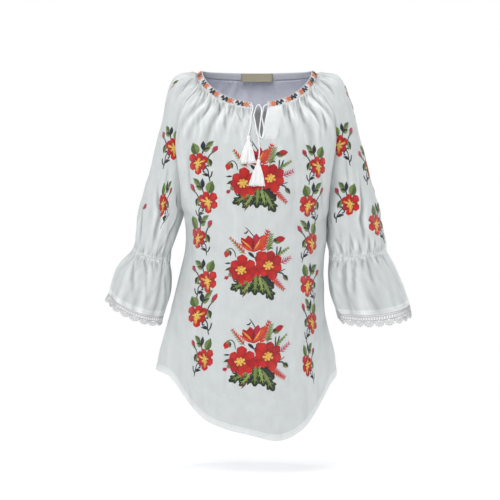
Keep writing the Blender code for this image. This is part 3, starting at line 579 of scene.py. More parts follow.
def cloth_object(name, cloth, wall, material):
    """A panel as a closed wall of cloth, with its weave laid out in millimetres."""
    used, compact = np.unique(cloth.faces, return_inverse=True)
    faces = compact.reshape(cloth.faces.shape)
    count = len(used)
    outer = cloth.points.reshape(-1, 3)[used]
    points = np.concatenate([outer, outer - cloth.normals.reshape(-1, 3)[used] * wall])
    start, end = faces.ravel(), np.roll(faces, -1, axis=1).ravel()
    rim = ~np.isin(start * count + end, end * count + start)
    start, end = start[rim], end[rim]
    rims = np.stack([end, start, start + count, end + count], axis=1)
    uv = np.stack([cloth.across - cloth.row_length[:, None] / 2, -cloth.down], axis=-1).reshape(-1, 2)
    outer_uv = uv[cloth.raw_faces]
    raw_start, raw_end = cloth.raw_faces.ravel()[rim], np.roll(cloth.raw_faces, -1, axis=1).ravel()[rim]
    rim_uv = np.stack([uv[raw_end], uv[raw_start], uv[raw_start] + wall, uv[raw_end] + wall], axis=1)
    # Share of painted shade deep inside the blouse, away from its openings
    deep = np.minimum(ease(cloth.down, *NEAR_OPENING), ease(cloth.bottom, *NEAR_HEM))

    def per_point(table, inner_share):
        """A grid's values for the outer points and then, at a share, for the inner ones."""
        outside = table.ravel()[used]
        return np.concatenate([outside, outside * inner_share])
    # Values at the points: doubled layers, painted crease shade on the outer side only, the inner side, the
    # share of painted shade deep inside, the fine gathers' bump with its painted light and shade, and the
    # distance round
    values = {"layers": per_point(cloth.layers, 1), "painted_crease_shade": per_point(cloth.shade * cloth.painted_crease_shade(), 0),
              "inner": np.repeat([0, 1], count), "deep": per_point(deep, 1),
              "gathers": per_point(cloth.gathers, 0),
              "column": per_point(cloth.along, 1) * cloth.row_length.mean()}
    turned = [0, 3, 2, 1]
    return make_mesh(name, points, [faces, faces[:, turned] + count, rims], material,
                     uvs=[outer_uv, outer_uv[:, turned], rim_uv], values=values)


# ---------------------------------------------------------------- panels
Shirr = namedtuple("Shirr", "count seed depth width reach lean")
FRONT_PLEATS = Shirr(30, 11, 3.2, 1.7, 22, 9)
BACK_PLEATS = Shirr(24, 12, 2, 2.4, 13, 5)
SLEEVE_PLEATS = Shirr(12, 13, 2.8, 2, 26, 5)
ELASTIC_PUCKERS = Shirr(32, 21, 2.9, 1.8, 9, 1.5)
ABOVE_ELASTIC = Shirr(11, 22, 4.2, 3.4, 34, 5)
BELOW_ELASTIC = Shirr(11, 22, 4.6, 3.6, 54, 6)

# Long creases, from top to foot as the front view shows them, deepest at a share of their length.
# width: on the side away from the row's start.  tail: on the side towards it.
Crease = namedtuple("Crease", "top_x top_z foot_x foot_z depth width tail peak")
FRONT_CREASES = as_rows(
    Crease,
    (-75, -63, -78, -88, 4, 1.8, 1.8, 0.1), (-64, -68, -61, -120, 2.4, 2.4, 2.4, 0.1),
    (-92, -50, -113, -96, 4.6, 2.2, 2.6, 0.2), (-111, -36, -134, -76, 3.6, 2, 2.6, 0.2),
    (-40, -78, -30, -98, 2.8, 1.6, 1.6, 0.3), (64, -72, 68, -112, 3.2, 1.8, 1.8, 0.1),
    (72, -68, 80, -94, 2.8, 1.6, 1.6, 0.1), (86, -64, 97, -98, 4.6, 2.2, 2.4, 0.3),
    (101, -50, 128, -130, 3.8, 2.6, 2.8, 0.2), (127, -74, 141, -116, 4.2, 2, 2.6, 0.3),
    (-139, -150, -136, -260, 2.6, 5, 5, 0.4), (128, -190, 133, -300, 3, 5, 5, 0.4),
    (-138, -612, -128, -668, 2.8, 7, 7, 0.4)
)
LEFT_SLEEVE_CREASES = as_rows(
    Crease,
    (-200, -220, -211, -356, 7.5, 5, 4, 0.6), (-229, -262, -236, -346, 5, 4, 3.6, 0.6),
    (-183, -338, -196, -362, 4, 2, 2, 0.6), (-159, -246, -181, -338, 10, 2, 18, 0.4),
    (-128, -12, -152, -42, 4, 2.4, 2.4, 0.1), (-176, -170, -186, -250, 3, 5, 5, 0.5)
)
RIGHT_SLEEVE_CREASES = as_rows(
    Crease,
    (206, -206, 216, -352, 7, 4.6, 4, 0.6), (184, -318, 194, -358, 4.2, 2.2, 2.2, 0.7),
    (156, -326, 167, -356, 4, 2.2, 2.2, 0.7), (203, -328, 207, -358, 3.6, 2, 2, 0.7),
    (222, -320, 225, -354, 3.8, 2.2, 2.2, 0.7), (234, -330, 236, -352, 3, 1.8, 1.8, 0.7),
    (128, -14, 158, -52, 5, 3.4, 4.4, 0.4), (178, -160, 186, -250, 3.2, 5, 5, 0.5)
)
LEFT_FLOUNCE_CREASES = as_rows(
    Crease,
    (-246, -374, -248, -452, 6.5, 4.6, 6, 0.3), (-236, -362, -243, -386, 4, 2, 2, 0.2),
    (-224, -372, -220, -402, 5, 2.2, 2.2, 0.2), (-220, -390, -223, -470, 4.2, 5, 5, 0.4),
    (-209, -374, -208, -404, 4, 2, 2, 0.2), (-199, -376, -200, -400, 3.6, 2, 2, 0.2),
    (-184, -400, -183, -460, 3.4, 5, 5, 0.4)
)
RIGHT_FLOUNCE_CREASES = as_rows(
    Crease,
    (179, -370, 173, -444, 6.5, 4, 5, 0.3), (197, -372, 194, -456, 5, 4.6, 4.6, 0.3),
    (210, -370, 212, -400, 4.2, 2.2, 2.2, 0.2), (220, -368, 234, -424, 4.4, 3.6, 3.6, 0.3),
    (238, -366, 244, -386, 3, 2, 2, 0.2), (163, -372, 160, -400, 3.6, 2.2, 2.2, 0.2)
)
SLEEVE_CREASES = {-1: LEFT_SLEEVE_CREASES, 1: RIGHT_SLEEVE_CREASES}
FLOUNCE_CREASES = {-1: LEFT_FLOUNCE_CREASES, 1: RIGHT_FLOUNCE_CREASES}
FRONT_STEP, BACK_STEP, SLEEVE_STEP, FLOUNCE_STEP, LACE_STEP = 3.1, 5.2, 3, 3, 2.6
FRONT_LEFT, FRONT_RIGHT = 98, 92             # columns on each side of the slit
BACK_ACROSS, SLEEVE_AROUND, FLOUNCE_AROUND = 132, 150, 150
# Extra rows at these distances above a lower edge, where its hem or stitching needs them
HEM_EXTRA, ELASTIC_EXTRA, FLOUNCE_EXTRA = (13.7, 13, 12.3, 11.6, 6, 1.2), (5, 2.5, 1.2), (10.6, 10, 9.4, 1)
FRONT_FOLD_GAIN, BACK_FOLD_GAIN, SLEEVE_FOLD_GAIN = 1.8, 0.7, 2.1
FLOUNCE_HEM, HEM_WIDTH, SEAM_WIDTH = 10, 12.5, 2.6
HEM_FULLNESS, SHOULDER_LIFT, BACK_SWELL = 3, 4.6, 0.55
# Grain of the muslin: height, wave length, stretch down the cloth and number of waves
GRAIN = ((1.9, 70, 2.4, 26), (0.35, 15, 3, 40), (0.7, 32, 1.8, 26))
SEAM_ROOM = 6                # distance from a stitched line over which folds grow
GRAIN_ROOM = 20              # and the grain
CRIMP_POWER = 1.3            # how sharp a pleat's bottom is
YOKE_TONE, YOKE_FADE = 0.28, 110             # lighter tone of the gathered yoke, and how far it reaches
EDGE_TONE, EDGE_FOLD = 0.6, 5                # the same for a seam's turned edge
GATHER_FADE = 22             # how far below the neck the finest gathers reach
# Fine gathers: a bump, painted lighter on its ridges and darker between them
NECK_GATHERS, ELASTIC_GATHERS = 1.5, 1.3     # how strong they are at the neck and at the elastic
ELASTIC_RIDGE, ELASTIC_REACH = 3.4, 9        # how far the ridges at the elastic stand out, and reach
HEM_RISE, FACING_RISE, LIP_RISE = 0.5, 0.45, 0.5     # how far doubled cloth stands out
LIP_FADE = 2.2               # how far from the slit's edge its lip reaches
BULGE_ABOVE_HEM, BULGE_HEIGHT = 60, 17       # where the front is fuller above its hem
BULGE_MIDDLE, BULGE_HALF = 0.48, 0.36        # and over which share of its width
ELASTIC_TURN = 5             # half width of the doubled cloth at the elastic
FACING_WIDTH, FACING_MARGIN = 30, 1.5
FLOUNCE_EDGE, LACE_EDGE = 4, 5               # row numbers of the flounce's and the lace's lower edges
FRILL_STEP, FRILL_ROW = 420, 22              # lengths over which the frill is laid, round and down


def shirring(cloth, table, distance, ring=False):
    """Fine gathers that run from a stitched line and fade with their distance from it."""
    draw = np.random.default_rng(table.seed)
    length = cloth.row_length[:, None]
    depth = np.zeros(cloth.along.shape)
    for number in range(table.count):
        place = (number + 0.5 + draw.uniform(-0.3, 0.3)) / table.count
        strength, reach = draw.uniform(0.45, 1), table.reach * draw.uniform(0.35, 1.6)
        lean = table.lean * draw.uniform(-1, 1)
        gap = (cloth.along - place) * length - lean * distance / (table.reach + distance)
        if ring:
            gap = (gap + length / 2) % length - length / 2
        width = table.width * (0.75 + distance / reach)
        depth += table.depth * strength * fade(distance, reach) * pleat(gap, width)
    if ring:
        return depth
    return (depth - 0.4 * table.depth * fade(distance, table.reach)) * ease(distance, 0, SEAM_ROOM)


def pleat(gap, width):
    """Profile of a pleat, 1 at its bottom."""
    return np.exp(-np.abs(gap / width) ** CRIMP_POWER)


def gather_depth(cloth, folds):
    """How far the long gathers push the cloth in."""
    depth = np.zeros(cloth.along.shape)
    for fold in folds:
        down = cloth.places[:, None] / fold.length
        centre = fold.top + (fold.foot - fold.top) * down
        growth = np.minimum(cloth.places[:, None] / FOLD_START_ROWS, 1) * np.clip(1 - down, 0, 1) ** 0.7
        depth += fold.depth * growth * bump((cloth.along - centre) / fold.half_width)
    return depth * np.clip(np.minimum(cloth.along, 1 - cloth.along) / FOLD_EDGE_MARGIN, 0, 1)


def long_creases(cloth, table):
    """How deep a table of creases lies at each point of a panel."""
    height, width = cloth.along.shape
    rows, columns = np.arange(height)[:, None], np.arange(width)[None, :]
    depth = np.zeros((height, width))
    for crease in table:
        top = cloth.seen_from_front(crease.top_x, crease.top_z)
        foot = cloth.seen_from_front(crease.foot_x, crease.foot_z)
        share = (rows - top[0]) / (foot[0] - top[0])
        gap = columns - top[1] - (foot[1] - top[1]) * share
        if cloth.closed_from is not None:
            half = (width - 1) / 2
            gap = np.where(rows >= cloth.closed_from, (gap + half) % (2 * half) - half, gap)
        gap = gap * (cloth.row_length / (width - 1))[:, None]
        wide = np.where(gap > 0, crease.width, crease.tail) * (0.7 + 0.6 * np.clip(share, 0, 1))
        along = ease(share, -0.15, crease.peak) * (1 - ease(share, crease.peak, 1.15))
        depth += crease.depth * along * pleat(gap, wide)
    return depth


def cloth_grain(cloth, seed):
    """Uneven swell and crinkle of light muslin, fading at the sewn edges and below the neck."""
    u = cloth.across - cloth.row_length[:, None] / 2
    rise = sum(height * unevenness(u, cloth.down, seed + number, wave, stretch, count)
               for number, (height, wave, stretch, count) in enumerate(GRAIN))
    return rise * ease(cloth.edge, 0, 14) * ease(cloth.down, 0, GRAIN_ROOM)


def seam_relief(cloth):
    """Relief of the seams at a panel's two edges: a groove on the line and a pressed ridge beside it."""
    relief = 0.35 * ridge(cloth.edge - SEAM_WIDTH, 1.6) - 0.25 * ridge(cloth.edge, 1.3)
    return relief * ease(cloth.down, 2, 8)


def hem_layers(distance, width):
    """1 where a hem or facing doubles the cloth and 0 elsewhere."""
    return 1 - ease(distance, width - 0.6, width + 0.6)


def edge_layers(cloth):
    """The lighter tone of the cloth turned in at the seams."""
    return EDGE_TONE * hem_layers(cloth.edge, EDGE_FOLD)


def elastic_swell(distance):
    """How far the gathered ridges stand out at the elastic's line."""
    return ELASTIC_RIDGE * ridge(distance, ELASTIC_REACH)


def slit_half(place):
    """Half the slit's opening at a row number."""
    return SLIT_HALF_OPENING * np.maximum(0, 1 - place / SLIT_FOOT) ** SLIT_CLOSING_POWER


def facing_cover(cloth, past_slit):
    """1 where the slit's facing lies behind the front, past the slit's right edge."""
    places = cloth.places[:, None]
    inside = ease(past_slit, -0.5, 0.5) * (1 - ease(past_slit, FACING_WIDTH, FACING_WIDTH + 1.2))
    return inside * (1 - ease(places, SLIT_FOOT - 0.05, SLIT_FOOT + 0.02)) * ease(places, 0, 0.15)


def front_cloth():
    """The front panel with its slit, long gathers, fine pleats, hem and the facing's outline."""
    places = even_places(partial(body_row, -1), (0, SLIT_FOOT, HEM), FRONT_STEP, HEM_EXTRA)
    foot = nearest(places, SLIT_FOOT)
    rows, along = [], []
    for place in places:
        arc = body_row(-1, place)
        half = slit_half(place) / travelled(arc)[-1]
        along.append(np.concatenate([np.linspace(0, SLIT_LINE - half, FRONT_LEFT + 1),
                                     np.linspace(SLIT_LINE + half, 1, FRONT_RIGHT + 1)]))
        rows.append(along_length(arc, along[-1]))
    cloth = Cloth(rows, places, along, split=FRONT_LEFT, foot=foot)
    from_slit = (cloth.along - SLIT_LINE) * cloth.row_length[:, None]
    half = slit_half(places)[:, None]
    facing = facing_cover(cloth, from_slit - half)
    below = np.maximum(cloth.down - cloth.down[foot, FRONT_LEFT], 0)
    lip = fade(np.hypot(np.abs(from_slit) - half, below), LIP_FADE) * (places[:, None] < SLIT_FOOT + 0.4)
    hem = hem_layers(cloth.bottom, HEM_WIDTH)
    pleats = shirring(cloth, FRONT_PLEATS, cloth.down) + long_creases(cloth, FRONT_CREASES)
    push = -FRONT_FOLD_GAIN * gather_depth(cloth, FRONT_FOLDS)
    push -= pleats * (1 - 0.8 * facing) * ease(cloth.down, 0, SEAM_ROOM)
    push += cloth_grain(cloth, 31) * (1 - 0.7 * facing)
    push += HEM_RISE * hem + FACING_RISE * facing + LIP_RISE * lip
    across = bump((cloth.along - BULGE_MIDDLE) / BULGE_HALF)
    push += HEM_FULLNESS * ridge(cloth.bottom - BULGE_ABOVE_HEM, BULGE_HEIGHT) * across
    cloth.push(push + seam_relief(cloth))
    # Fine gathers below the neck, bumped and painted lighter and darker; painted crease shade strongest near
    # the neck, weaker down the front
    cloth.gathers = NECK_GATHERS * fade(cloth.down, GATHER_FADE) * ease(cloth.down, 0, 3) * (1 - facing)
    cloth.shade = 1.7 - 1.3 * ease(cloth.down, 50, 300)
    yoke = YOKE_TONE * fade(cloth.down, YOKE_FADE)
    cloth.layers = np.maximum.reduce([yoke, hem, facing, edge_layers(cloth)])
    return cloth


def back_cloth():
    """The back panel, gathered and hemmed as the front is."""
    cloth = even_cloth(partial(body_row, 1), (0, HEM), BACK_STEP, HEM_EXTRA, BACK_ACROSS, flip=True)
    hem = hem_layers(cloth.bottom, HEM_WIDTH)
    push = -BACK_FOLD_GAIN * gather_depth(cloth, BACK_FOLDS) - shirring(cloth, BACK_PLEATS, cloth.down)
    cloth.push(push + BACK_SWELL * cloth_grain(cloth, 41) + HEM_RISE * hem + seam_relief(cloth))
    # Fine gathers below the neck, bumped and painted lighter and darker; weak painted crease shade
    cloth.gathers, cloth.shade = NECK_GATHERS * fade(cloth.down, GATHER_FADE), 0.4
    cloth.layers = np.maximum(hem, edge_layers(cloth))
    return cloth


def sleeve_cloth(side):
    """A sleeve from the neck to the elastic line, a tube from the underarm down."""
    cloth = even_cloth(partial(sleeve_row, side), (0, UNDERARM, ELASTIC), SLEEVE_STEP, ELASTIC_EXTRA,
                       SLEEVE_AROUND, closed_at=UNDERARM, flip=side < 0)
    line, places = cloth.bottom, cloth.places[:, None]
    push = -SLEEVE_FOLD_GAIN * gather_depth(cloth, SLEEVE_FOLDS) - shirring(cloth, SLEEVE_PLEATS, cloth.down)
    sewn = np.maximum(ease(cloth.edge, 0, 9), ease(places, UNDERARM, UNDERARM + 1))
    creases = long_creases(cloth, SLEEVE_CREASES[side])
    push -= creases * ease(cloth.down, 0, SEAM_ROOM) * ease(line, 0, 5) * sewn
    pinch = sum(shirring(cloth, table, line, ring=True) for table in (ABOVE_ELASTIC, ELASTIC_PUCKERS))
    push -= pinch * ease(places, 9.3, 10.3) - elastic_swell(line)
    push += SHOULDER_LIFT * ridge(cloth.down - 7, 7) * ease(cloth.edge, 0, 30)
    push += cloth_grain(cloth, 51 + side) * ease(line, 0, 25) + seam_relief(cloth) * ease(line, 4, 20)
    cloth.push(push)
    # Fine gathers at the neck and the elastic, bumped and painted lighter and darker; painted crease shade
    # away from the elastic
    cloth.gathers = fade(cloth.down, 26) + ELASTIC_GATHERS * fade(line, 12) * ease(line, 0, 5)
    cloth.shade = 1.3 * ease(line, 0, 14)
    yoke = YOKE_TONE * fade(cloth.down, YOKE_FADE)
    cloth.layers = np.maximum.reduce([ridge(line, ELASTIC_TURN), edge_layers(cloth), yoke])
    return cloth


def ring_cloth(side, first, last, step, extra=()):
    """Rings of a flounce or of its lace, with the soft flares that grow downwards, and its shaping."""
    cloth = even_cloth(partial(flounce_row, side), (first, last), step, extra, FLOUNCE_AROUND,
                       closed_at=0, flip=side < 0)
    places = cloth.places[:, None]
    swell = sum(f.height * bump((cloth.along - f.around) / f.half_width) for f in FLARES)
    push = (swell - 2) * np.minimum(places / FLOUNCE_EDGE, 1)
    frill = unevenness(cloth.along * FRILL_STEP, places * FRILL_ROW, 61 + side, 34, stretch=9)
    frill -= frill[:, :1] + (frill[:, -1:] - frill[:, :1]) * cloth.along
    return cloth, push + 1.6 * frill * ease(places, 0.4, 3)


def lace_cloth(side):
    """The surface that a flounce's lace lies on."""
    cloth, push = ring_cloth(side, FLOUNCE_EDGE, LACE_EDGE, LACE_STEP)
    cloth.push(push)
    return cloth


def flounce_cloth(side, top):
    """A flounce below the elastic; top is the sleeve's last ring, which it is sewn to."""
    cloth, push = ring_cloth(side, 0, FLOUNCE_EDGE, FLOUNCE_STEP, FLOUNCE_EXTRA)
    push -= sum(shirring(cloth, table, cloth.down, ring=True) for table in (BELOW_ELASTIC, ELASTIC_PUCKERS))
    push -= long_creases(cloth, FLOUNCE_CREASES[side]) * ease(cloth.down, 0, 5)
    push += elastic_swell(cloth.down) + cloth_grain(cloth, 71 + side) * ease(cloth.bottom, 0, 8)
    cloth.push(push)
    # Fine gathers below the elastic, bumped and painted lighter and darker; painted crease shade away from
    # the elastic
    cloth.gathers = ELASTIC_GATHERS * fade(cloth.down, 14) * ease(cloth.down, 0, 5)
    cloth.shade = ease(cloth.down, 0, 12)
    cloth.layers = np.maximum(hem_layers(cloth.bottom, FLOUNCE_HEM), ridge(cloth.down, ELASTIC_TURN))
    cloth.points = cloth.points + (top - cloth.points[0]) * (1 - ease(cloth.down, 0, 20))[..., None]
    cloth.settle()
    return cloth


# ---------------------------------------------------------------- thread work
def shade(red, green, blue):
    """A colour given as it looks, 0 to 255, in the linear values a mesh carries."""
    value = np.array([red, green, blue]) / 255
    return np.where(value <= 0.04045, value / 12.92, ((value + 0.055) / 1.055) ** 2.4)


SCARLET, CRIMSON, DEEP_RED = shade(228, 34, 28), shade(202, 20, 30), shade(136, 12, 20)
CORAL, ROSE, PINK = shade(232, 84, 52), shade(205, 40, 78), shade(222, 84, 120)
YELLOW, AMBER, ORANGE = shade(255, 222, 108), shade(255, 172, 64), shade(236, 106, 48)
LEAF, MOSS, FOREST = shade(134, 158, 78), shade(88, 114, 56), shade(44, 58, 36)
INK, BROWN, OLIVE = shade(30, 33, 46), shade(128, 84, 62), shade(150, 140, 96)
SPRING, SAGE, PEACH = shade(160, 186, 96), shade(140, 156, 92), shade(238, 148, 104)
# Outlines of a patch: its half width at even steps from foot to tip, as shares of the whole
ROUND = (0.22, 0.50, 0.74, 0.90, 0.99, 1, 0.93, 0.76, 0.32)
LANCE = (0.10, 0.55, 0.85, 1, 0.95, 0.78, 0.52, 0.28, 0.06)
STEM = (0.7, 1, 1, 1, 0.8)
PETAL = (0.28, 0.44, 0.60, 0.76, 0.90, 0.98, 1, 0.88, 0.34)
DISC = (0.12, 0.66, 0.87, 0.97, 1, 0.97, 0.87, 0.66, 0.12)
SPOT_REACH = 1.5              # grid steps round a spot that its slope is taken from
PATCH_STEP = 1.1              # length of a row of a patch's grid
WIDE_PATCH = 5                # half width from which a patch's underside follows the cloth
SUNK = -0.12                  # how far a patch's rim goes into the cloth


class Spot:
    """A flat drawing laid on cloth round one point: x to the right and y down, in millimetres."""

    def __init__(self, work, cloth, row, column, mirror=1, squeeze=1):
        past_slit = cloth.split is not None and column > cloth.split + 0.5
        self.work, self.cloth, self.mirror = work, cloth, mirror
        self.row, self.steps = row, column - 1 if past_slit else column
        up, below, left, right = [
            cloth.read(cloth.smooth_points, np.array(row + a), cloth.column_at(np.array(self.steps + b)))
            for a, b in ((-SPOT_REACH, 0), (SPOT_REACH, 0), (0, -SPOT_REACH), (0, SPOT_REACH))]
        normal = cloth.read(cloth.smooth_normals, np.array(row), np.array(column))
        y_way = np.array([0, 0, -1.0])
        y_way -= normal * np.dot(y_way, normal)
        y_way /= np.linalg.norm(y_way)
        x_way = np.cross(normal, y_way)
        steps = np.array([x_way, y_way]) @ np.column_stack([right - left, below - up]) / (2 * SPOT_REACH)
        self.to_grid = np.linalg.inv(steps) @ np.diag([mirror * squeeze, 1])

    @classmethod
    def in_front(cls, work, cloth, x, z, **how):
        """The drawing whose middle stands at x, z in the front view."""
        return cls(work, cloth, *cloth.seen_from_front(x, z), **how)

    def grid(self, x, y):
        """Grid rows and columns of points of the drawing."""
        steps = self.steps + self.to_grid[0, 0] * x + self.to_grid[0, 1] * y
        return self.row + self.to_grid[1, 0] * x + self.to_grid[1, 1] * y, self.cloth.column_at(steps)

    def lay(self, x, y, lift):
        """Points of the drawing on the cloth, lifted off it."""
        return on_cloth(self.cloth, *self.grid(x, y), lift[..., None])[0]

    def holds(self, x, y):
        """Whether nearly all of these points fall on the cloth."""
        row, column = self.grid(x, y)
        height, width = self.cloth.along.shape
        inside = (row > 0) & (row < height - 1) & (column > 0) & (column < width - 1)
        return inside.mean() > 0.8

    def blade(self, *what, **how):
        """A patch of thread on this spot."""
        self.work.blade(self, *what, **how)


def on_cloth(cloth, rows, columns, lift=0):
    """Points on a cloth, lifted off it, with the way each faces."""
    facing = cloth.read(cloth.normals, rows, columns)
    return cloth.read(cloth.points, rows, columns) + facing * lift, facing


class Threads:
    """Raised patches of thread, collected into one mesh."""

    def __init__(self, seed):
        self.draw = np.random.default_rng(seed)
        self.points, self.colours, self.quads, self.ends = [], [], [], []
        self.quad_uv, self.end_uv = [], []
        self.count = 0

    def blade(self, spot, axis, width, colours, shape=ROUND, edge=None, lift=0, puff=0.5,
              lengthwise=False, slant=0, rounding=0, fray=0.22):
        """One patch along a line: half as wide as width times its shape, puffed up in the middle."""
        axis = np.asarray(axis, dtype=float)
        line = smooth(axis, np.linspace(0, len(axis) - 1, 60)) if len(axis) > 2 else axis
        length = travelled(line)[-1]
        rows = max(4, int(length / PATCH_STEP))
        s = np.linspace(0, 1, rows + 1)
        centre = along_length(np.column_stack([line, np.zeros(len(line))]), s)[:, :2]
        heading = np.gradient(centre, axis=0)
        heading /= np.maximum(np.linalg.norm(heading, axis=1), 1e-6)[:, None]
        side = np.column_stack([-heading[:, 1], heading[:, 0]])
        t = np.linspace(-1, 1, 2 * int(np.clip(round(width / 2), 1, 4)) + 1)
        half = width * smooth(np.array(shape), s * (len(shape) - 1))
        frayed = np.maximum(half[:, None] + self.draw.uniform(-fray, fray, (rows + 1, 2)), 0.12)
        reach = np.where(t[None, :] < 0, frayed[:, :1], frayed[:, 1:]) * t[None, :]
        back = rounding * (t ** 2)[None, :] * (s ** 2)[:, None]
        flat = centre[:, None] + side[:, None] * reach[..., None] - heading[:, None] * back[..., None]
        x, y = flat[..., 0], flat[..., 1]
        if not spot.holds(x, y):
            return
        rise = (lift + puff * (1 - np.abs(t) ** 2.4))[None, :] * np.ones((rows + 1, 1))
        rise[0] = rise[-1] = 0.08
        rise[:, 0] = rise[:, -1] = SUNK
        grid = np.arange((rows + 1) * len(t)).reshape(rows + 1, len(t))
        keel = grid[:, len(t) // 2] if width > WIDE_PATCH else grid[:0, 0]
        under = spot.lay(x, y, np.full(x.shape, SUNK)).reshape(-1, 3)[keel]
        self.points += [spot.lay(x, y, rise).reshape(-1, 3), under]
        tint = self.tint(s, t, colours, edge)
        self.colours += [tint, tint[keel]]
        along = (s * length)[:, None] - slant * np.abs(reach)
        uv = np.stack([reach, along] if lengthwise else [along, reach], axis=-1).reshape(-1, 2)
        self.add_faces(grid, grid.size + np.arange(len(keel)), np.concatenate([uv, uv[keel]]),
                       spot.mirror < 0)

    def tint(self, s, t, colours, edge):
        """Colours of a patch: blended along it, toward its edges, and uneven from stitch to stitch."""
        colours = np.array(colours, dtype=float)
        if len(colours) == 1:
            colours = np.repeat(colours, 2, axis=0)
        tint = np.repeat(read_line(colours, np.linspace(0, 1, len(colours)), s)[:, None], len(t), axis=1)
        if edge is not None:
            blend = (np.abs(t) ** 3)[None, :, None]
            tint = tint * (1 - blend) + np.array(edge) * blend
        tint = tint * self.draw.uniform(0.86, 1.12, (len(s), 1, 1))
        return (tint * self.draw.uniform(0.94, 1.06, (1, len(t), 1))).reshape(-1, 3)

    def add_faces(self, index, keel, uv, flip):
        """Faces of one closed patch: top, ends and underside, which has a keel line where it is wide."""
        lines = [index[:, -1], keel, index[:, 0]] if len(keel) else [index[:, -1], index[:, 0]]
        under = [np.stack([a[:-1], b[:-1], b[1:], a[1:]], -1) for a, b in zip(lines, lines[1:])]
        quads = np.concatenate([grid_faces(index[:-1], index[1:]), *under])
        ends = []
        for edge in (np.concatenate([index[0][::-1], keel[:1]]), np.concatenate([index[-1], keel[-1:]])):
            ends.append(np.stack([np.full(len(edge) - 2, edge[0]), edge[1:-1], edge[2:]], -1))
        ends = np.concatenate(ends)
        if flip:
            quads, ends = quads[:, ::-1], ends[:, ::-1]
        self.quad_uv.append(uv[quads])
        self.end_uv.append(uv[ends])
        self.quads.append(quads + self.count)
        self.ends.append(ends + self.count)
        self.count += len(uv)

    def build(self, name, material):
        """The collected patches as one object."""
        points, colours, quads, ends, quad_uv, end_uv = map(
            np.concatenate, (self.points, self.colours, self.quads, self.ends, self.quad_uv, self.end_uv))
        return make_mesh(name, points, [quads, ends], material, colours=colours, uvs=[quad_uv, end_uv])


STITCH_LENGTH, STITCH_WIDTH, STITCH_HEIGHT, STITCH_GAP = 3.4, 0.6, 0.42, 0.3


def stitch_object(name, lines, material):
    """Rows of small stitches, each a ridge of thread, along lines of points and the way they face."""
    blocks = []
    for points, facing in lines:
        length = travelled(points)
        bounds = np.linspace(0, length[-1], max(1, int(length[-1] / STITCH_LENGTH)) + 1)
        room = np.diff(bounds) * STITCH_GAP / 2
        start = read_line(points, length, bounds[:-1] + room)
        end = read_line(points, length, bounds[1:] - room)
        out = read_line(facing, length, (bounds[:-1] + bounds[1:]) / 2)
        across = np.cross(out, end - start)
        across *= STITCH_WIDTH / 2 / np.maximum(np.linalg.norm(across, axis=1), 1e-6)[:, None]
        low, high, inset = out * -0.15, out * STITCH_HEIGHT, (end - start) * 0.2
        blocks.append(np.stack([start - across + low, start + across + low, end + across + low,
                                end - across + low, start + inset + high, end - inset + high], axis=1))
    points = np.concatenate(blocks)
    first = 6 * np.arange(len(points))[:, None, None]
    quads = (first + np.array([[0, 3, 2, 1], [1, 2, 5, 4], [3, 0, 4, 5]])).reshape(-1, 4)
    ends = (first + np.array([[0, 1, 4], [2, 3, 5]])).reshape(-1, 3)
    return make_mesh(name, points.reshape(-1, 3), [quads, ends], material)


# ---------------------------------------------------------------- flowers and leaves
def rib(foot, tip):
    """A line's two ends, the way from one to the other and the unit way across it."""
    foot, tip = np.array(foot, dtype=float), np.array(tip, dtype=float)
    way = tip - foot
    return foot, tip, way, np.array([-way[1], way[0]]) / np.linalg.norm(way)


def petal(spot, x, y, turn, length, width, colours, lift=0, start=0.12, edge=DEEP_RED * 1.25):
    """One rounded petal that leaves the flower's heart at a turn from straight up."""
    way = np.array([math.sin(math.radians(turn)), -math.cos(math.radians(turn))])
    middle = np.array([x, y])
    spot.blade([middle + way * length * start, middle + way * length], width, colours,
               shape=PETAL, edge=edge, lift=lift, puff=0.55, lengthwise=True, rounding=width * 0.16)


def leaf(spot, foot, tip, width, light=LEAF, dark=MOSS, bend=0):
    """A leaf in two tones, one on each side of its midrib."""
    foot, tip, _, side = rib(foot, tip)
    middle = (foot + tip) / 2 + side * bend
    for hand, colour in ((1, light), (-1, dark)):
        offset = side * width * 0.5 * hand
        spot.blade([foot, middle + offset, tip], width * 0.66, [colour * 0.8, colour, colour],
                   shape=LANCE, puff=0.42, slant=0.8)
    spot.blade([foot, middle, foot * 0.15 + tip * 0.85], 0.45, [dark * 0.7], shape=STEM,
               lift=0.2, puff=0.35, fray=0.08)


def twig(spot, points, width=1.7, colour=INK):
    """A stem or twig of close stitches."""
    spot.blade(points, width, [colour], shape=STEM, fray=0.12)


def bud(spot, foot, tip, width, colour=ROSE, cup=MOSS):
    """A closed bud with its green cup."""
    foot, tip, way, _ = rib(foot, tip)
    spot.blade([foot, tip], width, [colour * 0.75, colour, colour], puff=0.6, lengthwise=True,
               rounding=width * 0.5, edge=DEEP_RED)
    spot.blade([foot - way * 0.12, foot * 0.62 + tip * 0.38], width * 0.62, [cup],
               shape=LANCE, lift=0.25, puff=0.4)


def feather(spot, start, end, reach, first, second, barbs=7, thick=1.7):
    """A feathery sprig: short barbs in two colours, one on each side of its rib."""
    start, end, way, side = rib(start, end)
    along = way / np.linalg.norm(way)
    spot.blade([start, end], thick * 1.7, [first * 0.9, first], shape=LANCE, lift=-0.05, puff=0.35)
    for number in range(barbs):
        at = start + way * (0.10 + 0.86 * number / barbs)
        spread = reach * (1 - 0.5 * number / barbs)
        for hand, colour in ((1, first), (-1, second)):
            tip = at + along * spread * 0.85 + side * spread * 0.75 * hand
            spot.blade([at, tip], thick, [colour * 0.8, colour], shape=LANCE, puff=0.4, fray=0.1)


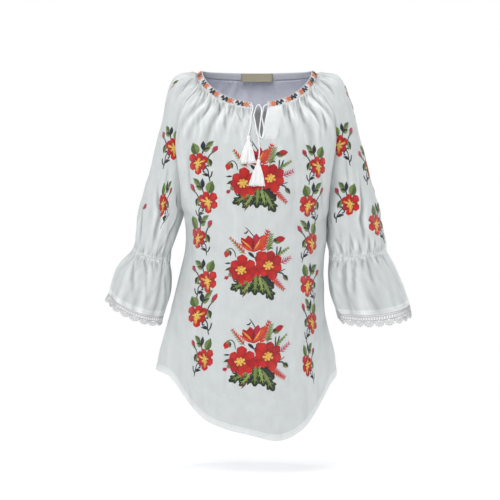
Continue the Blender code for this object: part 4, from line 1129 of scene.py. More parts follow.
def oak_leaf(spot, foot, tip, width, light=LEAF, dark=FOREST):
    """A large lobed leaf, dark at its rim and light along the middle."""
    foot, tip, way, side = rib(foot, tip)
    spot.blade([foot, tip], width * 0.8, [dark, dark * 0.8], puff=0.35, slant=0.8, fray=0.4)
    for place, reach in ((0.10, 0.95), (0.34, 1.15), (0.60, 0.9)):
        for hand in (-1, 1):
            at = foot + way * place
            lobe = at + way * 0.24 + side * width * reach * hand
            spot.blade([at, lobe], width * 0.36, [dark, dark * 0.85], puff=0.4, lift=0.05)
            spot.blade([at, at * 0.2 + lobe * 0.8], width * 0.27, [light, light * 0.85], shape=LANCE,
                       lift=0.28, puff=0.35)
    spot.blade([foot, foot * 0.1 + tip * 0.9], width * 0.46, [light, light * 0.9], shape=LANCE,
               lift=0.32, puff=0.35, slant=0.6)


HEART_RAYS = 7


def heart(spot, x, y, radius):
    """A flower's yellow heart: short rays round a small dark eye."""
    for number in range(HEART_RAYS):
        colours = [AMBER, YELLOW if number % 2 else AMBER, YELLOW]
        petal(spot, x, y, 10 + number * 360 / HEART_RAYS, radius * (0.95 + 0.12 * (number % 3)),
              radius * 0.36, colours, lift=0.45, start=0.2, edge=AMBER)
    spot.blade([(x - radius * 0.74, y), (x + radius * 0.74, y)], radius * 0.74, [YELLOW], shape=DISC,
               lift=0.4, puff=0.35, edge=AMBER)
    spot.blade([(x - radius * 0.18, y), (x + radius * 0.2, y + radius * 0.05)], radius * 0.2,
               [BROWN], lift=0.75, puff=0.4)


# Petals of a rose: turn from straight up, length, half width, main colour
Petal = namedtuple("Petal", "turn length width colour")
SMALL_ROSE = as_rows(
    Petal, (178, 23, 7.8, SCARLET), (-118, 20.5, 7.8, SCARLET), (66, 22.5, 8.2, CRIMSON),
    (14, 20.5, 7.6, SCARLET), (-48, 23, 8.8, SCARLET), (122, 19, 7.2, CRIMSON))
FULL_ROSE_LEFT = as_rows(
    Petal, (58, 31, 10, SCARLET), (98, 30, 9.6, CRIMSON), (136, 30, 9.4, SCARLET), (-50, 25, 9.4, SCARLET),
    (6, 31, 11, SCARLET), (-96, 25, 9, CRIMSON), (-140, 25, 9.2, CRIMSON), (174, 31, 9, SCARLET))
FULL_ROSE_RIGHT = as_rows(
    Petal, (14, 28, 9.4, CRIMSON), (-32, 30, 10, SCARLET), (-78, 25, 9.8, SCARLET), (62, 29, 10, CRIMSON),
    (108, 28, 9.8, SCARLET), (158, 30, 10.4, SCARLET), (-146, 25, 9.8, SCARLET))


def rose(spot, x, y, petals, heart_radius, flame=False):
    """An open rose; with flame, orange runs from its heart up the petals."""
    core = 0.80 * min(part.length for part in petals)
    spot.blade([(x - core, y), (x + core, y)], core, [CRIMSON * 0.8], shape=DISC, puff=0.3)
    for number, part in enumerate(petals):
        colours = [DEEP_RED * 0.9, part.colour * 0.80, part.colour * 0.96, part.colour]
        petal(spot, x, y, part.turn, part.length, part.width, colours, lift=0.12 * (number % 3))
        if flame and number % 3 != 1:
            petal(spot, x, y, part.turn + 6, part.length * (0.76 - 0.2 * (number % 2)), part.width * 0.52,
                  [YELLOW, YELLOW, AMBER, ORANGE], lift=0.35, start=0.1, edge=CORAL)
    heart(spot, x, y, heart_radius)


# A drawing's strokes in the order that they are sewn: the kind of each, then its places in
# millimetres round the drawing's middle, its width and its colours, as its kind names them
ROSE_SPRIG = (
    (twig, [(8, -17), (9.4, -24), (9.8, -28)]),
    (leaf, (-1.5, -17), (-12.5, -39.5), 8.4),
    (leaf, (9.6, -25.5), (7.4, -44.5), 4.6, INK * 1.5, INK),
    (leaf, (14, -31), (29, -43.5), 5.4),
    (leaf, (9, -24.5), (24.4, -29.5), 4.8, LEAF, FOREST),
    (twig, [(19, -3.5), (23, -13.5), (29.8, -21)], 1.7, FOREST),
    (bud, (28.8, -20), (37.6, -33.2), 5.6),
    (leaf, (21.4, -8), (27.5, 9), 5, LEAF, FOREST),
    (twig, [(12.5, 6.5), (17.5, 10.5), (21, 16), (22.6, 27), (24.8, 38)], 1.4),
    (twig, [(16, 9), (20, 5.5), (22.5, 8.5)]),
    (twig, [(15, 10.5), (11.4, 14.5), (12.2, 18.2), (15.6, 17.6)]),
    (leaf, (22.6, 27.5), (9, 22.6), 3.2, INK * 1.4, INK, 2),
    (twig, [(23.6, 31), (27.8, 25.5), (29.4, 17.5)]),
    (Spot.blade, [(12, 7.5), (18, 11)], 2.6, [INK]),
    (rose, 0, 0, SMALL_ROSE, 7.6, True),
    (Spot.blade, [(-7, 4.8), (-1.5, 9), (4.5, 6.6)], 1.4, [AMBER, YELLOW, AMBER], ROUND, None, 0.4),
)
BOUQUET_LEAVES = (
    (oak_leaf, (-10, 30), (-45, 50), 9),
    (oak_leaf, (-6, 34), (-26, 58), 7, SPRING),
    (leaf, (-4, 34), (-12, 56), 5, FOREST, FOREST * 0.7),
    (oak_leaf, (14, 20), (38, 44), 9.5, FOREST, INK),
    (oak_leaf, (4, 18), (1, 58), 10),
    (oak_leaf, (10, 20), (18, 57), 9, SPRING),
    (oak_leaf, (16, 26), (36, 66), 10.5, SAGE),
    (leaf, (-12.5, 46), (-22.5, 64), 2.6, BROWN * 1.3, BROWN),
    (feather, (-16, -20), (-47, -56), 9.5, CORAL, LEAF * 1.3),
    (feather, (26, -24), (38, -62), 11, LEAF * 1.2, OLIVE, 7, 1.8),
    (feather, (12, -22), (33.5, -69), 12, CORAL, SCARLET, 7, 2.3),
    (feather, (33, 22), (61, 51), 10, CORAL, PINK * 0.9, 7, 1.9),
    (feather, (52, -2), (76, -12), 10.5, PINK, ROSE, 4, 1.3),
    (feather, (44, -17), (72, -32), 7, LEAF, LEAF * 1.25, 5),
    (twig, [(26, -32), (33, -38), (40.5, -45)], 1.1, FOREST),
    (bud, (41, -46), (63, -48.5), 6.4, CRIMSON, FOREST),
    (leaf, (40, -43), (54, -40.5), 3.2, LEAF, LEAF * 0.8),
    (twig, [(-35, -14), (-38, -26), (-45, -32), (-52, -28.5)], 1.1),
    (bud, (-51, -29), (-56, -13), 6.2, SCARLET, LEAF),
    (leaf, (-48, -29), (-46, -16), 3.4, LEAF, FOREST),
    (twig, [(-9.7, -73), (-3, -64), (4, -53)], 1.2),
    (twig, [(-15, -61.5), (-10, -62), (-7, -66)]),
    (twig, [(27.5, -28), (32, -32), (37, -30.5)]),
    (twig, [(44, -16), (45.5, -34)]),
    (twig, [(46.5, -18), (50, -24), (53.5, -33)]),
    (twig, [(41, 18), (51, 13.5), (62, 10)], 1.1),
    (twig, [(48, 15), (55, 17), (59, 21)]),
    (leaf, (57, 20), (67.5, 33), 4.4, OLIVE, FOREST),
    (leaf, (-45, -2.5), (-58.5, -1), 1.9, FOREST, INK),
    (leaf, (-43.5, 5.5), (-57.5, 13.5), 2.6, MOSS, FOREST),
    (bud, (-42, 19), (-51, 23), 4.6, OLIVE, FOREST),
    (bud, (-50, 25.5), (-58, 30), 4.2, ROSE, ROSE),
    (twig, [(-40, 30), (-36, 34), (-32, 33)]),
)
# The half-open rose over the two full ones: tips of its petals, their half width and colour
UPPER_PETALS = ((-22, -53, 7, CRIMSON), (24, -57, 9, CORAL), (9, -60, 8, ROSE), (-8, -57, 9.5, CRIMSON),
                (1.5, -47, 8, DEEP_RED * 1.3))
UPPER_STREAKS = ((-23, -49.5), (14.5, -50.5))
INNER_PETALS = ((16, -24, 8, SCARLET), (9, -12, 8.5, CRIMSON), (8, 4, 8.5, SCARLET), (4, 24, 8.5, SCARLET))
BOUQUET_ROSES = (
    (Spot.blade, [(-11, -25), (-4, -19), (2.5, -12)], 3.4, [INK], LANCE, None, 0.3),
    (twig, [(2, -13), (6.5, -19), (5, -23.5)]),
    (Spot.blade, [(-6, 12), (14, 10)], 9, [CRIMSON], DISC, None, 0, 0.3),
    (rose, 28.1, 0.7, FULL_ROSE_RIGHT, 9.6),
    (rose, -25, 10.4, FULL_ROSE_LEFT, 9.8),
)


def sew(spot, strokes):
    """Stitch a drawing's strokes in their order."""
    for kind, *told in strokes:
        kind(spot, *told)


def bouquet(spot):
    """Two full roses under a half-open one, among buds, sprigs, twigs and lobed leaves."""
    sew(spot, BOUQUET_LEAVES)
    for x, y, width, colour in UPPER_PETALS:
        spot.blade([(-1, -26), ((x - 2) * 0.62, -41), (x, y)], width, [DEEP_RED, colour, colour],
                   lengthwise=True, rounding=2.5, edge=DEEP_RED * 1.3)
    for x, y in UPPER_STREAKS:
        spot.blade([(-1.6, -27.5), (x * 0.45, -37.5), (x, y)], 3, [CORAL, AMBER, YELLOW], shape=LANCE,
                   lift=0.35)
        spot.blade([(-1.6, -26), (x * 0.62, -33), (x * 1.25, y + 7)], 3.4, [SCARLET, CORAL, SCARLET],
                   shape=LANCE, lift=0.1)
    for x, y, width, colour in INNER_PETALS:
        spot.blade([(4, -2 + y * 0.35), (x, y)], width, [DEEP_RED, colour, colour], shape=PETAL,
                   lengthwise=True, edge=DEEP_RED * 1.3)
    sew(spot, BOUQUET_ROSES)


# Where the motifs' middles stand in the front view
BOUQUETS = ((-2, -210), (-6, -384), (-6, -565))
# Sprigs: x, z, which way each is turned, and how far the cloth's slope or a fold narrows it
ROSE_COLUMNS = (
    (-119, -180, 1, 1), (-97.5, -258, -1, 1), (-117, -331, 1, 1), (-99, -416, -1, 1), (-120.5, -485, 1, 1),
    (-104, -572, -1, 0.85), (122.5, -187, -1, 0.8), (101.5, -265, 1, 0.9), (110, -341, -1, 0.85),
    (100, -425, 1, 0.85), (110.5, -499, -1, 0.7), (100.5, -584, 1, 0.5))
SLEEVE_SPRIGS = {-1: ((-166, -150, -1, 0.8), (-189, -262, 1, 0.42)),
                 1: ((164, -144, 1, 0.8), (187, -262, -1, 0.92), (234, -180, -1, 1), (238, -302, 1, 1.05))}
# Sprigs round the sleeves' outer sides and backs: row number, share of the way from front to back
OUTER_SPRIGS = ((3.4, 0.62), (5.6, 0.80), (7.8, 0.66), (10, 0.82))


def bouquet_group(work, cloth):
    """The three bouquets down the middle of the front."""
    for x, z in BOUQUETS:
        bouquet(Spot.in_front(work, cloth, x, z))


def sprig_group(work, cloth, sprigs=ROSE_COLUMNS):
    """Rose sprigs, such as the columns on each side of the bouquets, each turned against the last."""
    for x, z, mirror, squeeze in sprigs:
        sew(Spot.in_front(work, cloth, x, z, mirror=mirror, squeeze=squeeze), ROSE_SPRIG)


def sleeve_group(work, cloth, side):
    """The sprigs scattered down a sleeve, and the small leaf and bud of the left one."""
    sprig_group(work, cloth, SLEEVE_SPRIGS[side])
    for number, (place, share) in enumerate(OUTER_SPRIGS):
        row = float(np.interp(place, cloth.places, np.arange(cloth.places.size)))
        sew(Spot(work, cloth, row, share * SLEEVE_AROUND, mirror=1 if number % 2 else -1), ROSE_SPRIG)
    if side < 0:
        shoulder = Spot.in_front(work, cloth, -165, -22)
        leaf(shoulder, (-1.5, 3), (6.5, -8), 3.8, LEAF, FOREST)
        shoulder.blade([(4.5, 3), (-1, 8), (-6.5, 13)], 1.7, [CRIMSON, ROSE], shape=LANCE)
        bud(Spot.in_front(work, cloth, -224, -266), (-6, 5), (5, -4), 5.4, ROSE, CRIMSON)


# ---------------------------------------------------------------- seams and stitches
HEM_STITCH, SEAM_STITCH, FLOUNCE_STITCH = 9, 4.2, 5          # distances in from the cloth's edges


def line_above_hem(cloth, distance):
    """Points this far above a panel's lower edge."""
    rows, columns = np.arange(cloth.places.size), np.arange(cloth.along.shape[1])
    level = np.array([np.interp(-distance, -cloth.bottom[:, column], rows) for column in columns])
    return on_cloth(cloth, level, columns)


def side_lines(cloth, first, last=None):
    """Points down a panel, in from its left edge and then from its right edge."""
    rows = np.arange(cloth.places.size)[first:last]
    lines = []
    for from_right in (False, True):
        wanted = [cloth.row_length[row] - SEAM_STITCH if from_right else SEAM_STITCH for row in rows]
        columns = [np.interp(w, cloth.across[row], np.arange(cloth.along.shape[1]))
                   for w, row in zip(wanted, rows)]
        lines.append(on_cloth(cloth, rows, np.array(columns)))
    return lines


def body_stitches(cloth):
    """Hem and side seam stitches of the front or the back."""
    return [line_above_hem(cloth, HEM_STITCH), *side_lines(cloth, 2)]


def facing_stitches(cloth):
    """Stitches that hold the facing behind the front, and the two pressed edges of the slit."""
    rows = np.arange(1, nearest(cloth.places, SLIT_FOOT))
    half = slit_half(cloth.places[rows])

    def at(distance):
        """Columns that stand at a distance from the slit's line, row by row."""
        shares = SLIT_LINE + distance / cloth.row_length[rows]
        return np.array([np.interp(s, cloth.along[row], np.arange(cloth.along.shape[1]))
                         for s, row in zip(shares, rows)])
    outline = at(half + FACING_WIDTH - 1.5)
    corner = np.linspace(outline[-1], at(half + 1.5)[-1], 12)
    return [on_cloth(cloth, rows, outline), on_cloth(cloth, np.full(12, rows[-1] - 0.6), corner),
            on_cloth(cloth, rows, at(half + 2.2)), on_cloth(cloth, rows, at(-half - 2.2))]


# ---------------------------------------------------------------- round threads
class Tubes:
    """Round threads, collected into one mesh of closed tubes."""

    def __init__(self, sides=5):
        self.turns = np.linspace(0, math.tau, sides, endpoint=False)
        self.points, self.quads, self.caps, self.count = [], [], [], 0

    def add(self, line, facing, radius, closed=False):
        """One thread along a line of points; facing says which way its seam lies."""
        line, facing = np.asarray(line, dtype=float), np.asarray(facing, dtype=float)
        if closed:
            along = np.roll(line, -1, axis=0) - np.roll(line, 1, axis=0)
        else:
            along = np.gradient(line, axis=0)
        along /= np.maximum(np.linalg.norm(along, axis=1), 1e-9)[:, None]
        side = np.cross(facing, along)
        side /= np.maximum(np.linalg.norm(side, axis=1), 1e-9)[:, None]
        up, turns = np.cross(along, side), self.turns[None, :, None]
        ring = np.cos(turns) * up[:, None] + np.sin(turns) * side[:, None]
        self.points.append((line[:, None] + ring * radius).reshape(-1, 3))
        sides, rows = len(self.turns), len(line)
        index = self.count + np.arange(rows * sides).reshape(rows, sides)
        around = np.column_stack([index, index[:, 0]])
        if closed:
            self.quads.append(grid_faces(around, np.roll(around, -1, axis=0)))
        else:
            self.quads.append(grid_faces(around[:-1], around[1:]))
            self.caps.append(np.stack([index[0][::-1], index[-1]]))
        self.count += rows * sides

    def build(self, name, material):
        """The collected threads as one object."""
        sets = [np.concatenate(self.quads)] + ([np.concatenate(self.caps)] if self.caps else [])
        return make_mesh(name, np.concatenate(self.points), sets, material)


# ---------------------------------------------------------------- lace
# Heights run from 0 at the cloth to 1 at the tips, and widths are in scallops
LACE_PITCH = 21
LACE_THICKEN = 1.12
LACE_SINK = 0.6
HEADING_HEIGHTS = (0.02, 0.15, 0.46)
EYELETS, SPOKES, PICOTS = 4, 9, 6                     # in each scallop
FAN_ARCS = ((0.50, 0.46, 0.62), (0.36, 0.32, 0.5), (0.17, 0.17, 0.5))      # reach, height, radius
FAN_FOOT = 0.47


def lace_object(name, cloth, material):
    """Crocheted edging: a heading, a row of eyelets, and a fan with picots for each scallop."""
    work = Tubes()
    count = int(round(cloth.row_length[0] / LACE_PITCH))
    width = cloth.along.shape[1] - 1

    def thread(u, v, radius, closed=False, lift=0):
        """Lay a thread through scallops u and heights v."""
        on, facing = on_cloth(cloth, v * (cloth.places.size - 1), np.mod(u * width / count, width),
                              lift - LACE_SINK)
        work.add(on, facing, radius * LACE_THICKEN, closed=closed)
    ring = np.linspace(0, count, count * 16, endpoint=False)
    for v in HEADING_HEIGHTS:
        thread(ring, v + 0.012 * np.sin(ring * math.tau * 4), 0.68, closed=True)
    ring = np.linspace(0, count, count * 12, endpoint=False)
    thread(ring, 0.085 + 0.065 * np.sign(np.sin(ring * math.tau * 6 + 0.3)), 0.46, closed=True, lift=0.2)
    turn, half = np.linspace(0, math.tau, 14, endpoint=False), np.linspace(0, math.pi, 15)
    out = np.linspace(0.34, 1, 4)
    for scallop in range(count):
        for eyelet in range(EYELETS):
            middle = scallop + (eyelet + 0.5) / EYELETS
            thread(middle + 0.095 * np.cos(turn), 0.305 + 0.145 * np.sin(turn), 0.6, closed=True)
        middle = scallop + 0.5
        for reach, height, radius in FAN_ARCS:
            thread(middle - reach * np.cos(half), FAN_FOOT + height * np.sin(half), radius)
        for spoke in np.linspace(0.12, math.pi - 0.12, SPOKES):
            thread(middle - 0.5 * out * math.cos(spoke), FAN_FOOT + 0.46 * out * math.sin(spoke), 0.5)
        for picot in np.linspace(0.35, math.pi - 0.35, PICOTS):
            x, y = middle - 0.52 * math.cos(picot), FAN_FOOT + 0.49 * math.sin(picot)
            thread(x + 0.055 * np.cos(turn[::2]), y + 0.05 * np.sin(turn[::2]), 0.42, closed=True)
    return work.build(name, material)


# ---------------------------------------------------------------- neck band
BAND_TURNS = 430
# The band's section: share of its height, and millimetres out from its middle
BAND_PROFILE = (
    (0, -1), (0.02, -0.30), (0.07, 0.05), (0.12, -0.10), (0.20, 0.25), (0.35, 0.45), (0.50, 0.50),
    (0.65, 0.45), (0.80, 0.25), (0.88, -0.10), (0.93, 0.05), (0.985, -0.30), (1, -1),
    (0.98, -1.80), (0.80, -2), (0.50, -2.05), (0.20, -2), (0.02, -1.80),
)
BAND_FACE = slice(2, 11)     # the part of the section that shows from outside
BAND_INSIDE = -1.5
BAND_STITCH_ROWS = (0.7, 7.3)


def band_points(profile):
    """Points of the band, one row for each point of a section, with its lower edge and its way out."""
    arc = body_row(-1, 0)
    half = SLIT_HALF_OPENING / travelled(arc)[-1]
    right, left = [math.degrees(math.asin(end[0] / NECK_SEAM.half_width))
                   for end in along_length(arc, [SLIT_LINE + half, SLIT_LINE - half])]
    angles = np.linspace(right + 0.2, left + 359.8, BAND_TURNS)
    lower, upper = ring_point(NECK_SEAM, angles), ring_point(BAND_EDGE, angles)
    out = np.cross(np.gradient(lower, axis=0), upper - lower)
    out /= np.linalg.norm(out, axis=1)[:, None]
    return np.array([lower + (upper - lower) * v + out * w for v, w in profile]), lower, out


def band_object(name, material):
    """The folded band with its drawstring tunnel, open ends and pressed edges."""
    rows, lower, out = band_points(BAND_PROFILE)
    sections, turns = rows.shape[:2]
    puckers = np.random.default_rng(81).uniform(-0.12, 0.12, turns)
    rows = rows + out[None] * np.convolve(puckers, np.ones(5) / 2, mode="same")[None, :, None]
    index = np.arange(sections * turns).reshape(sections, turns)
    quads = grid_faces(index, np.roll(index, -1, axis=0))
    caps = np.stack([index[:, 0], index[:, -1][::-1]])
    girth = travelled(rows[:, 0])
    uv = np.stack(np.broadcast_arrays(travelled(lower)[None, :], girth[:, None]), axis=-1).reshape(-1, 2)
    return make_mesh(name, rows.reshape(-1, 3), [quads, caps], material, uvs=[uv[quads], uv[caps]],
                     values={"inner": np.repeat([out < BAND_INSIDE for _, out in BAND_PROFILE], turns)})


def band_cloth():
    """The band's outer face as a cloth to draw its border on."""
    points, _, _ = band_points(BAND_PROFILE[BAND_FACE][::-1])
    return Cloth(points, np.arange(len(points)), 0)


BORDER_REPEAT = 28
BORDER_ROWS = 4 / 6.4        # grid rows of the band's face for each millimetre of the drawing
BORDER_PETALS = (-150, -80, -10, 62, 135)            # the way each petal points, in degrees
BORDER_STEMS = ((-10.4, 1.6, -13.6, 4.4), (-10.2, -1.6, -13.2, -4.4))
BORDER_VINE = [(0.5, 1.8), (4.6, -2), (9, 1.8), (13.4, -2), (17.2, 1.6)]
BORDER_LEAVES = ((1.6, 0.8, 4, 5.2), (4, -1.6, 7.6, -5.4), (9, 1.4, 12.6, 5.2), (12.6, -1.6, 16, -5.4))


def border(work, cloth):
    """The woven border: an orange flower, a leafy vine, and so on round the band."""
    count = int(round(cloth.row_length[4] / BORDER_REPEAT))
    for number in range(count):
        column = (number + 0.5) / count * (BAND_TURNS - 1)
        spot = Spot(work, cloth, 4, column, mirror=1 if column < BAND_TURNS / 2 else -1)
        spot.to_grid = np.diag([spot.to_grid[0, 0], math.copysign(BORDER_ROWS, spot.to_grid[1, 1])])
        for turn in BORDER_PETALS:
            petal(spot, -4.5, 0, turn, 6.4, 3.1, [CORAL, PEACH, PEACH * 1.25], edge=PEACH, lift=0.35)
        spot.blade([(-6.2, 0), (-2.8, 0)], 1.7, [AMBER], lift=0.6, puff=0.3)
        for x, y, tip_x, tip_y in BORDER_STEMS:
            spot.blade([(x, y), (tip_x, tip_y)], 1.4, [CORAL], shape=LANCE, lift=0.3, puff=0.3)
        spot.blade(BORDER_VINE, 2.3, [INK], lift=0.3, puff=0.35, fray=0.08, shape=STEM)
        for x, y, tip_x, tip_y in BORDER_LEAVES:
            spot.blade([(x, y), (tip_x, tip_y)], 3.8, [INK], shape=LANCE, lift=0.4, puff=0.32, fray=0.1)


# ---------------------------------------------------------------- label and facing
LABEL_HALF_ANGLE, LABEL_TOP_BELOW_EDGE, LABEL_HEIGHT, LABEL_GAP = 17, 1.5, 17, 2.7
LABEL_HEM, LABEL_STITCH_ROW = 3, 1.2
LABEL_GRID = (19, 61)        # rows and columns
FACING_GRID = (34, 25)
FACING_GAP = 1.5             # how far behind the front's outer side the facing stands


def label_cloth():
    """The bare label that hangs inside the back neck from the band's edge."""
    height, width = LABEL_GRID
    top = ring_point(BAND_EDGE, np.linspace(180 + LABEL_HALF_ANGLE, 180 - LABEL_HALF_ANGLE, width))
    top -= [0, LABEL_GAP, LABEL_TOP_BELOW_EDGE]
    drops = np.linspace(0, 1, height)
    rows = []
    for drop in drops:
        row = top - [0, 0, LABEL_HEIGHT * drop]
        row[:, 1] -= 0.8 * drop ** 2 * (1 + 0.5 * np.cos(np.linspace(0, 9, width)))
        rows.append(row)
    cloth = Cloth(rows, drops, np.linspace(0, 1, width))
    cloth.layers = hem_layers(cloth.edge, LABEL_HEM)
    cloth.push(0.25 * cloth.layers)
    return cloth


def facing_cloth(front):
    """The facing that lies close behind the front along the slit's right edge."""
    height, width = FACING_GRID
    grid_rows = np.linspace(1, nearest(front.places, SLIT_FOOT) - 0.5, height)
    rows = []
    for row in grid_rows:
        place, length = [np.interp(row, np.arange(front.places.size), values)
                         for values in (front.places, front.row_length)]
        start = SLIT_LINE + (slit_half(place) + FACING_MARGIN) / length
        shares = np.linspace(start, start + FACING_WIDTH / length, width)
        columns = np.interp(shares, front.along[int(round(row)), FRONT_LEFT + 1:], np.arange(FRONT_RIGHT + 1))
        rows.append(on_cloth(front, np.full(width, row), columns + FRONT_LEFT + 1, -FACING_GAP)[0])
    cloth = Cloth(rows, grid_rows, np.linspace(0, 1, width))
    cloth.layers = np.ones((height, width))
    return cloth


# ---------------------------------------------------------------- cords and tassels
CORD_FINE_STEP = 1.3


def cord_object(name, route, material):
    """A drawstring's free end as a round tube along a smooth curve, with its length in metres."""
    fine = smooth(np.array(route), np.linspace(0, len(route) - 1, 40 * len(route)))
    length = travelled(fine)[-1]
    points = along_length(fine, np.linspace(0, 1, int(round(length / CORD_FINE_STEP)) + 1))
    curve = bpy.data.curves.new(name, "CURVE")
    curve.dimensions = "3D"
    curve.bevel_depth, curve.bevel_resolution, curve.use_fill_caps = CORD_DIAMETER / 2 * MM, 4, True
    spline = curve.splines.new("POLY")
    spline.points.add(len(points) - 1)
    for place, point in zip(spline.points, points):
        place.co = (*(point * MM), 1)
    curve.materials.append(material)
    item = bpy.data.objects.new(name, curve)
    bpy.context.collection.objects.link(item)
    return item, length * MM


# along: share of the length from head to ends
TasselRing = namedtuple("TasselRing", "along half_width half_depth")
TASSEL_RINGS = as_rows(TasselRing, (0, 1.2, 1.2), (0.05, 3.4, 3), (0.12, 3.2, 2.8), (0.18, 2.2, 2),
                       (0.28, 5, 3.4), (0.60, 11, 4.6), (1, 17, 4.2))
TASSEL_THREADS = 120
TASSEL_BINDING = (0.150, 0.168, 0.186, 0.204)        # where the binding's turns lie, from head to ends
BINDING_TURN = (2.7, 2.4, 0.2)       # half width, half depth and slope of each turn


def tassel_object(name, head, foot, seed, material):
    """A tassel of loose threads under a tied neck."""
    draw, work = np.random.default_rng(seed), Tubes()
    head, way = np.array(head), np.array(foot) - np.array(head)
    share, wide, deep = np.array(TASSEL_RINGS).T
    s = np.concatenate([np.linspace(0, 0.3, 9), np.linspace(0.36, 1, 9)])
    for _ in range(TASSEL_THREADS):
        turn, depth = draw.uniform(0, math.tau), math.sqrt(draw.uniform(0.12, 1))
        at = s * draw.uniform(0.90, 1)
        sway = draw.uniform(-1, 1, 2) * 1.3
        x = np.interp(at, share, wide) * depth * math.cos(turn) + sway[0] * np.sin(at * 4 + turn) * at
        y = np.interp(at, share, deep) * depth * math.sin(turn) + 0.3 * sway[1] * np.sin(at * 5) * at
        line = head + way * at[:, None] + np.column_stack([x, y, np.zeros(len(s))])
        work.add(line, np.tile([math.cos(turn), math.sin(turn), 0], (len(s), 1)), draw.uniform(0.6, 0.85))
    turns = np.linspace(0, math.tau, 16, endpoint=False)
    around = np.column_stack([np.cos(turns), np.sin(turns), np.zeros(16)])
    for place in TASSEL_BINDING:
        loop = np.column_stack([np.cos(turns), np.sin(turns), np.sin(turns)]) * BINDING_TURN
        line = head + way * place + loop
        work.add(line, around, 0.5, closed=True)
    return work.build(name, material)


# ---------------------------------------------------------------- finishes
WHITE = (1, 1, 1, 1)


class Finish:
    """A procedural material in the making: textures, bump and colour round one shader."""

    def __init__(self, name, roughness, sheen=0, specular=0.3):
        self.material = bpy.data.materials.new(name)
        self.material.use_nodes = True
        self.tree = self.material.node_tree
        self.shader = self.tree.nodes["Principled BSDF"]
        for socket, value in (("Roughness", roughness), ("Sheen Weight", sheen), ("Sheen Roughness", 0.5),
                              ("Specular IOR Level", specular)):
            self.set(socket, value)
        self.height = None

    def set(self, socket, value):
        """Set one of the shader's inputs."""
        self.feed(self.shader.inputs[socket], value)

    def add(self, kind, inputs=(), **settings):
        """A node with its settings, its inputs fed in order."""
        node = self.tree.nodes.new(kind)
        for key, value in settings.items():
            setattr(node, key, value)
        for socket, value in zip(node.inputs, inputs):
            self.feed(socket, value)
        return node

    def feed(self, socket, value):
        """Link a socket or set its value."""
        if isinstance(value, bpy.types.NodeSocket):
            self.tree.links.new(value, socket)
        elif value is not None:
            socket.default_value = value

    def math(self, operation, *values):
        """The result of one sum."""
        return self.add("ShaderNodeMath", values, operation=operation).outputs[0]

    def times(self, place, factors):
        """A place multiplied along each axis."""
        return self.add("ShaderNodeVectorMath", (place, factors), operation="MULTIPLY").outputs[0]

    def where(self, source="UV"):
        """The place on the cloth in millimetres."""
        place = self.add("ShaderNodeTexCoord").outputs[source]
        return place if source == "UV" else self.times(place, (1 / MM,) * 3)

    def marked(self, name):
        """A value that the mesh carries at its points."""
        return self.add("ShaderNodeAttribute", attribute_name=name).outputs["Fac"]

    def noise(self, place, size, detail=2, stretch=(1, 1, 1)):
        """Soft noise, 0 to 1, with bumps of about this size in millimetres."""
        scaled = self.times(place, tuple(1 / (size * s) for s in stretch))
        node = self.add("ShaderNodeTexNoise")
        for socket, value in (("Vector", scaled), ("Scale", 1), ("Detail", detail)):
            self.feed(node.inputs[socket], value)
        return node.outputs["Fac"]

    def wave(self, distance, pitch):
        """A wave from -1 to 1 that repeats at this pitch in millimetres."""
        return self.math("SINE", self.math("MULTIPLY", distance, math.tau / pitch))

    def part(self, vector, axis):
        """One coordinate of a place."""
        return self.add("ShaderNodeSeparateXYZ", (vector,)).outputs[axis]

    def spread(self, value, low, high, source_low=0, source_high=1):
        """A value moved from one range into another."""
        return self.add("ShaderNodeMapRange", (value, source_low, source_high, low, high)).outputs[0]

    def blend(self, amount, first, second, how="MIX"):
        """One colour blended into another."""
        node = self.add("ShaderNodeMix", data_type="RGBA", blend_type=how)
        self.feed(node.inputs["Factor"], amount)
        for socket, value in zip([s for s in node.inputs if s.type == "RGBA"], (first, second)):
            self.feed(socket, (*value, 1) if isinstance(value, (tuple, Color)) else value)
        return next(s for s in node.outputs if s.type == "RGBA")

    def relief(self, height, depth):
        """Add bump of this depth in millimetres on top of what is there."""
        node = self.add("ShaderNodeBump")
        for socket, value in (("Strength", 1), ("Distance", depth * MM), ("Height", height),
                              ("Normal", self.height)):
            self.feed(node.inputs[socket], value)
        self.height = node.outputs["Normal"]
        self.set("Normal", self.height)

    def paint(self, colour, tone, ridges=None, roughness=(0, 0)):
        """Set the surface's colour and its tone, and how rough it is from its troughs to its ridges."""
        grey = self.add("ShaderNodeCombineColor", (tone,) * 3).outputs[0]
        self.set("Base Color", self.blend(1, colour, grey, "MULTIPLY"))
        if ridges is not None:
            self.set("Roughness", self.spread(ridges, *roughness, -1))

    def glow(self, strength, colour=WHITE):
        """Set the glow that the surface itself gives off."""
        self.set("Emission Color", colour)
        self.set("Emission Strength", strength)

    def weave(self, place, pitch, depth):
        """Over-and-under threads with uneven slubs; gives the height used."""
        warp, weft = self.part(place, 0), self.part(place, 1)
        wobble = self.noise(place, 9, 1)
        across = self.wave(self.math("ADD", warp, wobble), pitch)
        along = self.wave(self.math("ADD", weft, wobble), pitch)
        weave = self.math("MULTIPLY", across, along)
        self.relief(weave, depth)
        return weave


# Painted shade deep in the muslin's creases, and painted light on its ridges
FURROW_SHADE = 0.26          # how much greyer the cloth looks deep between two gathers
# Painted highlight on the fine gathers' ridges and painted shade between them
GATHER_PAINTED_SHADING = 0.46           # how far the finest gathers lighten and darken the cloth
GATHER_PITCH = 5.2
THROUGH_GLOW_COLOUR, THROUGH_GLOW_STRENGTH = (0.5, 0.55, 1, 1), 0.07    # painted glow on its inner side, in place of daylight showing through
PAPER_GLOW = (0.50, 0.90)    # light from under the thin paper, in the middle and at the rim
PAPER_GLOW_RADII = (700, 1700)


